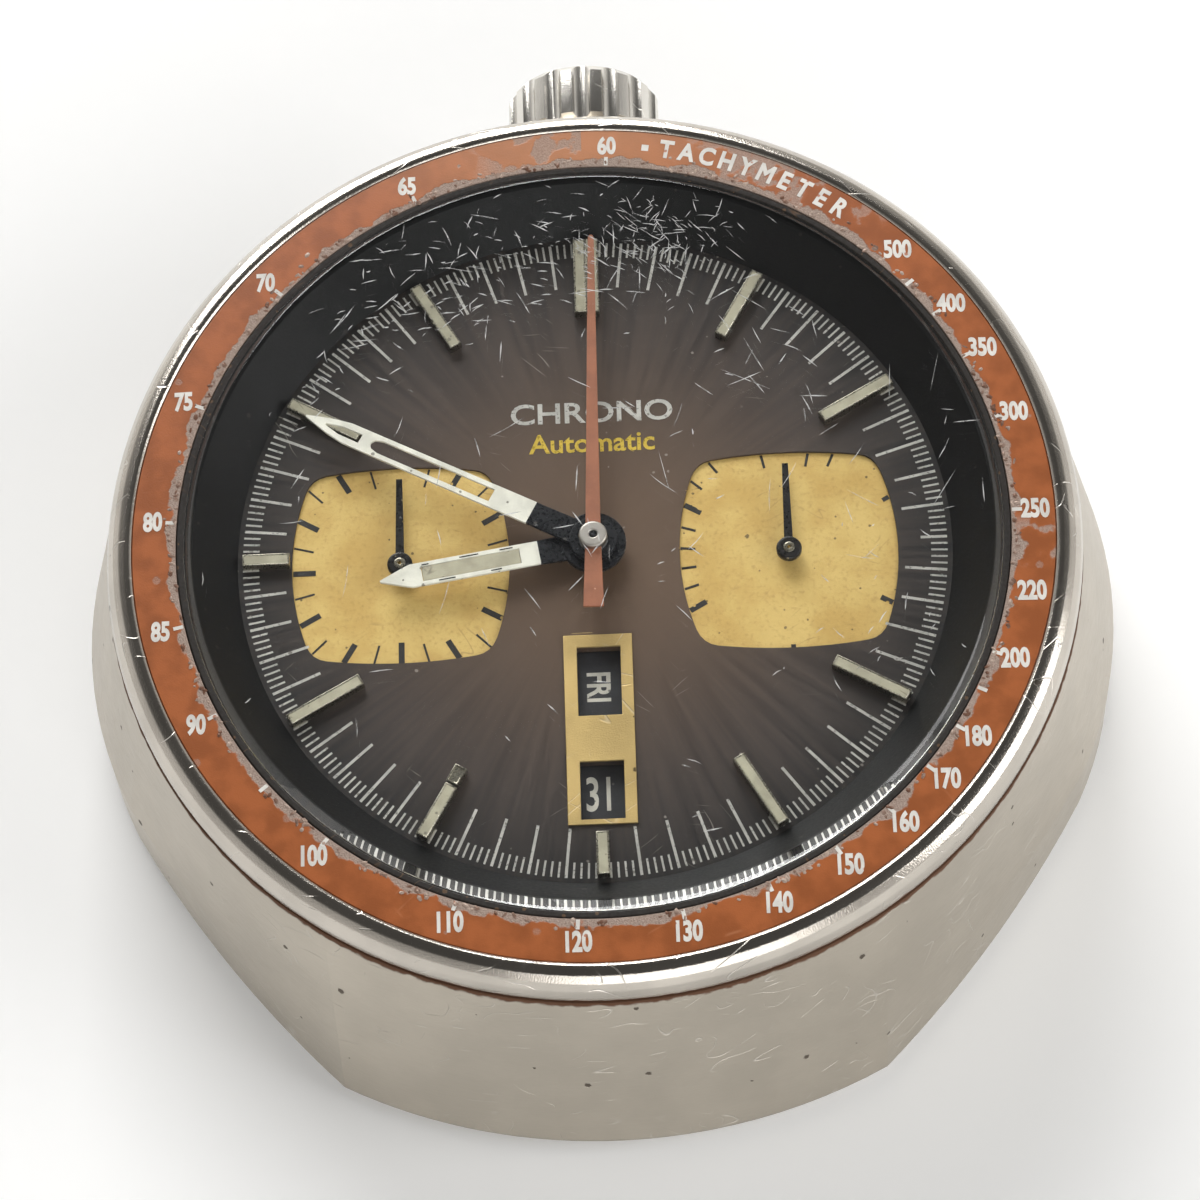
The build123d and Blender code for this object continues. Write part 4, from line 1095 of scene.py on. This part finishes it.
metal("case_steel", colour(190, 182, 169), 0.36, 0.93, 0.58, 0.34, 0.12, 0.16, (0.25, 0.25, 2.2))
metal("bezel_steel", colour(204, 197, 187), 0.17, 0.86, 0.6, 0.10, 0.03)
metal("crown_steel", colour(236, 232, 224), 0.24, 0.84, 0.4, 0.12, 0.05)
metal("polished_steel", colour(180, 174, 158), 0.28, 0.7, 0.3, 0.2, 0.05)
metal("grey_steel", colour(178, 172, 165), 0.42, 0.8, 0.3, 0.1, 0.08)
metal("steel_part", colour(176, 176, 178), 0.28, 0.8, 0.25, 0.02, 0.06, 0.05)
metal("blue_steel", colour(62, 74, 128), 0.25, 0.7, 0.15, 0.0, 0.04, 0.04)
metal("nickel", colour(205, 198, 184), 0.3, 0.85, 0.2, 0.02, 0.12, 0.08, (2.0, 0.3, 0.3))
metal("brass_wheel", colour(214, 180, 105), 0.26, 0.8, 0.25, 0.02, 0.07, 0.05)
metal("worn_gold", colour(196, 170, 116), 0.55, 0.78, 0.6, 0.35, 0.12)
print("metals:", sorted(finishes))

# %% [markdown]
# Rust has crept out of the slot between bezel and case. It belongs to both pieces' own finishes, as a brown, dull
# band round the slot's height on the dial, with ragged edges: low on the bezel, and on the rim of the case.

# %% Rust in the slot under the bezel
for name, low, high in (("bezel_steel", 0.5, 1.18), ("case_steel", 0.66, 1.2)):
    tree = finishes[name].node_tree
    shader = tree.nodes["Principled BSDF"]
    on_dial = use(tree, "Place on dial")
    cloud = use(tree, "Grain", **{"Cloud scale": 1.3})["Cloud"]
    ragged = times(tree, minus(tree, cloud, 0.5), 0.5)
    height = plus(tree, on_dial["Height"], ragged)
    below, above = ramp(tree, height, high - 0.05, high + 0.05, 1.0, 0.0), ramp(tree, height, low - 0.05, low + 0.1)
    rust = times(tree, below, above)
    rust = times(tree, rust, ramp(tree, on_dial["Radius"], 19.6, 19.7))
    rusty = blend(tree, rust, shader.inputs["Base Color"].links[0].from_socket, colour(88, 58, 38))
    tree.links.new(rusty, shader.inputs["Base Color"])
    tree.links.new(minus(tree, 1.0, rust), shader.inputs["Metallic"])
    clean = shader.inputs["Roughness"].links[0].from_socket
    rough_rust = calc(tree, "ADD", clean, times(tree, rust, 0.6), clamp=True)
    tree.links.new(rough_rust, shader.inputs["Roughness"])
    print("rust on", name, "from", low, "to", high, "mm over the dial")

# %% [markdown]
# The orange is a satin anodised print. It is paler and thinner near 12, browner in clouds, and eaten through to
# pale oxide along its inner edge. The eaten edge is where the radius, shifted by noise, falls below a limit. Three
# rubbed patches, just after 12, just before it and at 3, are where the turn is near a middle and the noise is high.

# %% Orange plate and its crust
tree, shader = start_finish("insert_orange", Specular_IOR_Level=0.5)
on_dial, grain_map = use(tree, "Place on dial"), use(tree, "Grain", **{"Cloud scale": 0.8})
lines = use(tree, "Scratches", Amount=0.35, Width=0.03)["Lines"]
dots = use(tree, "Specks", Scale=1.1, Size=0.26, Amount=0.22)["Dots"]
base = blend(tree, ramp(tree, grain_map["Cloud"], 0.35, 0.65), colour(150, 84, 44), colour(172, 98, 54))
near_twelve = ramp(tree, calc(tree, "ABSOLUTE", minus(tree, on_dial["Turn"], 0.5)), 0.40, 0.497)
base = blend(tree, times(tree, near_twelve, 0.55), base, colour(198, 138, 94))
eaten_at = plus(tree, on_dial["Radius"], times(tree, minus(tree, grain_map["Cloud"], 0.5), 1.5))
eaten = ramp(tree, eaten_at, 17.50, 17.60, 1.0, 0.0)
chipped = calc(tree, "MAXIMUM", eaten, times(tree, dots, ramp(tree, near_twelve, 0.05, 0.5, 0.35, 1.0)))
for middle, half in ((0.078, 0.05), (0.262, 0.012), (0.985, 0.03)):
    beside = ramp(tree, calc(tree, "ABSOLUTE", minus(tree, on_dial["Turn"], middle)), half * 0.4, half, 1.0, 0.0)
    rubbed = ramp(tree, grain_map["Cloud"], 0.50, 0.56)
    chipped = calc(tree, "MAXIMUM", chipped, times(tree, times(tree, beside, rubbed), 0.8))
oxide = blend(tree, grain_map["Fine"], colour(120, 96, 84), colour(196, 176, 162))
base = blend(tree, times(tree, lines, 0.3), base, colour(215, 150, 110))
base = blend(tree, chipped, base, oxide)
grit = times(tree, grain_map["Fine"], plus(tree, chipped, 0.12))
height = plus(tree, grit, times(tree, chipped, -0.8))
feed(tree, shader, base, ramp(tree, chipped, 0.0, 1.0, 0.36, 0.75), height, 0.05)

tree, shader = start_finish("oxide_crust", Metallic=0.35)
grain_map = use(tree, "Grain", **{"Fine scale": 5.0, "Cloud scale": 1.2})
base = blend(tree, ramp(tree, grain_map["Cloud"], 0.35, 0.65), colour(112, 78, 60), colour(186, 166, 152))
feed(tree, shader, base, ramp(tree, grain_map["Fine"], 0.3, 0.7, 0.4, 0.8), grain_map["Fine"], 0.03)
print("the orange plate's finish has", len(finishes["insert_orange"].node_tree.nodes), "nodes")

# %% [markdown]
# The dial's lacquer is translucent brown over brushed brass. It is warm and bright in the middle and nearly black
# at its rim, and its brushing runs out from the middle in thin rays. The rays are noise read along the turn about
# the axis. They vary the roughness and the bump, and a paler brown laid along them is painted sheen: the glint of
# the brushing put into the colour. Dust, fibres and pinholes lie all over it.

# %% Dial lacquer
tree, shader = start_finish("dial_brown", Metallic=0.3, Specular_IOR_Level=0.5)
on_dial, grain_map = use(tree, "Place on dial"), use(tree, "Grain", **{"Fine scale": 9.0, "Cloud scale": 0.25})
ray_place = node(tree, "CombineXYZ", {
    "X": times(tree, on_dial["Turn"], 260.0), "Y": times(tree, on_dial["Radius"], 0.15)}).outputs[0]
brushed_rays_and_sheen = noise(tree, ray_place, 1.0, 3.0)
base = blend(tree, ramp(tree, on_dial["Radius"], 1.0, 12.5), colour(94, 74, 58), colour(52, 45, 42))
base = blend(tree, ramp(tree, on_dial["Radius"], 11.0, 15.0), base, colour(24, 23, 24))
# Painted sheen: the colour is lifted towards a paler brown along the brushing rays, a glint painted into the dial.
base = blend(tree, times(tree, ramp(tree, brushed_rays_and_sheen, 0.3, 0.75), 0.10), base, colour(118, 94, 76))
dust = use(tree, "Specks", Scale=1.6, Size=0.13, Amount=0.16)["Dots"]
fibres = use(tree, "Scratches", Scale=1.4, Width=0.012, Amount=0.40)["Lines"]
base = blend(tree, times(tree, calc(tree, "MAXIMUM", dust, fibres), 0.5), base, colour(168, 160, 150))
roughness = plus(tree, ramp(tree, brushed_rays_and_sheen, 0.3, 0.7, 0.40, 0.52), times(tree, dust, 0.3))
feed(tree, shader, base, roughness, plus(tree, times(tree, brushed_rays_and_sheen, 0.3), dust), 0.006)
print("the dial's finish has", len(tree.nodes), "nodes")

# %% [markdown]
# The gilt of the recorders is clouded and dull. Small dark pits, larger stains and fine fibres lie over it.

# %% Gilt recorder floors
tree, shader = start_finish("recorder_gold", Metallic=0.2)
grain_map = use(tree, "Grain", **{"Fine scale": 6.0, "Cloud scale": 0.5})
base = blend(tree, ramp(tree, grain_map["Cloud"], 0.3, 0.7), colour(188, 154, 84), colour(206, 176, 106))
base = blend(tree, ramp(tree, grain_map["Fine"], 0.5, 0.8, 0.0, 0.4), base, colour(150, 118, 62))
pits = use(tree, "Specks", Scale=2.2, Size=0.15, Amount=0.34)["Dots"]
stains = use(tree, "Specks", Scale=0.8, Size=0.14, Amount=0.25)["Dots"]
fibres = use(tree, "Scratches", Scale=1.3, Width=0.012, Amount=0.5)["Lines"]
base = blend(tree, times(tree, calc(tree, "MAXIMUM", pits, stains), 0.75), base, colour(52, 38, 24))
base = blend(tree, times(tree, fibres, 0.4), base, colour(120, 92, 52))
feed(tree, shader, base, ramp(tree, grain_map["Fine"], 0.3, 0.7, 0.42, 0.6), grain_map["Fine"], 0.008)
print("the gilt's finish has", len(tree.nodes), "nodes")

# %% [markdown]
# Prints and paints are all a plain colour that has worn: it thins in clouds, and specks of it are missing. One
# function makes them, given the colour of the print and what shows where it is gone.

# %% Prints, paints and rubber
def paint(name, shade, under, worn=0.3, rough=0.5, metal_share=0.0, speck=2.5, gloss_grain=0.1, shine=0.5):
    tree, shader = start_finish(name, Metallic=metal_share, Specular_IOR_Level=shine)
    grain_map = use(tree, "Grain", **{"Fine scale": 8.0, "Cloud scale": 1.1})
    dots = use(tree, "Specks", Scale=speck, Size=0.28, Amount=worn)["Dots"]
    lines = use(tree, "Scratches", Scale=1.5, Width=0.02, Amount=worn)["Lines"]
    gone = calc(tree, "MAXIMUM", dots, lines)
    shaded = tuple(c * 0.8 for c in shade[:3]) + (1.0,)
    base = blend(tree, ramp(tree, grain_map["Cloud"], 0.35, 0.65), shaded, shade)
    base = blend(tree, times(tree, gone, 0.8), base, under)
    roughness = ramp(tree, grain_map["Fine"], 0.3, 0.7, rough - gloss_grain, rough + gloss_grain)
    feed(tree, shader, base, roughness, minus(tree, grain_map["Fine"], gone), 0.008)


paint("worn_print", colour(232, 228, 220), colour(176, 96, 52), 0.22)
paint("worn_black_print", colour(24, 20, 18), colour(205, 168, 84), 0.30)
paint("silver_print", colour(198, 195, 188), colour(110, 104, 98), 0.25, 0.35, 0.5)
paint("gold_print", colour(214, 184, 74), colour(96, 80, 50), 0.25, 0.35, 0.4)
paint("disc_print", colour(206, 202, 190), colour(90, 88, 84), 0.3)
paint("disc_dark", colour(44, 44, 48), colour(92, 90, 88), 0.3, 0.45)
paint("hand_black", colour(28, 29, 33), colour(84, 82, 80), 0.07, 0.32, 0.3)
paint("worn_black", colour(26, 24, 24), colour(150, 138, 110), 0.35, 0.35, 0.3)
paint("hand_white", colour(222, 218, 206), colour(120, 112, 100), 0.3)
paint("old_white", colour(224, 221, 208), colour(92, 84, 74), 0.30, 0.42)
paint("hand_orange", colour(150, 92, 64), colour(214, 168, 140), 0.14, 0.5)
paint("lume_paste", colour(172, 166, 144), colour(112, 106, 92), 0.45, 0.75)
paint("lume", colour(196, 192, 172), colour(112, 106, 92), 0.45, 0.75)
paint("gold_plate", colour(214, 174, 86), colour(110, 84, 50), 0.3, 0.35, 0.7)
paint("black_paint", colour(13, 13, 14), colour(42, 39, 35), 0.06, 0.45, gloss_grain=0.04, shine=0.2)
paint("black_rubber", colour(34, 28, 23), colour(98, 72, 48), 0.5, 0.7)
paint("ring_white", colour(205, 203, 194), colour(150, 145, 135), 0.15, 0.5)
print("prints and paints so far, with the rest:", len(finishes))

# %% [markdown]
# Clear glass in a path tracer casts a black shadow unless its lamps' rays are let through, so a Light Path node
# swaps the glass for a clear shader on shadow rays. The scuffs are crushed glass: white, rough and partly
# see-through. The bearing jewels are the same glass with ruby's colour.

# %% Glass, crushed glass and ruby
def clear(name, shade, rough, ior):
    tree, shader = start_finish(name, Transmission_Weight=1.0, IOR=ior, Base_Color=shade)
    lines = use(tree, "Scratches", Scale=1.2, Width=0.015, Amount=0.4)["Lines"]
    grain_map = use(tree, "Grain")
    smears = ramp(tree, grain_map["Cloud"], 0.4, 0.8, rough, rough + 0.03)
    roughness = plus(tree, smears, times(tree, lines, 0.12))
    feed(tree, shader, rough=roughness, height=minus(tree, 0.5, lines), depth=0.002)
    through = node(tree, "BsdfTransparent", {"Color": shade})
    shadow = node(tree, "LightPath").outputs["Is Shadow Ray"]
    both = node(tree, "MixShader", {0: shadow, 1: shader.outputs[0], 2: through.outputs[0]})
    tree.links.new(both.outputs[0], tree.nodes["Material Output"].inputs["Surface"])


clear("crystal_glass", (0.985, 0.995, 0.99, 1.0), 0.0, 1.49)
clear("ruby", colour(214, 40, 80), 0.02, 1.76)
tree, shader = start_finish("crushed_glass", Roughness=0.6)
grain_map = use(tree, "Grain", **{"Fine scale": 5.0, "Cloud scale": 1.5})
base = blend(tree, grain_map["Fine"], colour(190, 190, 188), colour(238, 238, 236))
feed(tree, shader, base, ramp(tree, grain_map["Fine"], 0.3, 0.7, 0.45, 0.7), grain_map["Fine"], 0.01,
     alpha=ramp(tree, grain_map["Cloud"], 0.38, 0.60, 0.15, 0.85))
print(len(finishes), "finishes")

# %% [markdown]
# The floor is white paper with a faint glow of its own, which keeps it near white where the lamps reach it least.

# %% Floor paper
tree, shader = start_finish("floor_paper", Emission_Color=(1, 1, 1, 1), Emission_Strength=0.12,
                            Specular_IOR_Level=0.1)
grain_map = use(tree, "Grain", **{"Fine scale": 1.5, "Cloud scale": 0.01})
base = blend(tree, grain_map["Fine"], colour(244, 244, 243), colour(249, 249, 248))
feed(tree, shader, base, ramp(tree, grain_map["Cloud"], 0.3, 0.7, 0.75, 0.9))
floor.data.materials.append(finishes["floor_paper"])
print("the floor wears", floor.data.materials[0].name)

# %% [markdown]
# Each new piece takes the finish it was given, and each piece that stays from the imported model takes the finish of
# the slot that the record gives it.

# %% Dress every piece
for piece, finish in made_pieces.values():
    piece.data.materials.clear()
    piece.data.materials.append(finishes[finish])
for row in frame["record"]["subparts"]:
    cad_piece = frame["nodes"][row["node"]]
    for place in cad_piece.material_slots:
        place.material = finishes[row["material_slot"]]
print("dressed", len(made_pieces), "new pieces and", len(frame["nodes"]), "packed ones")
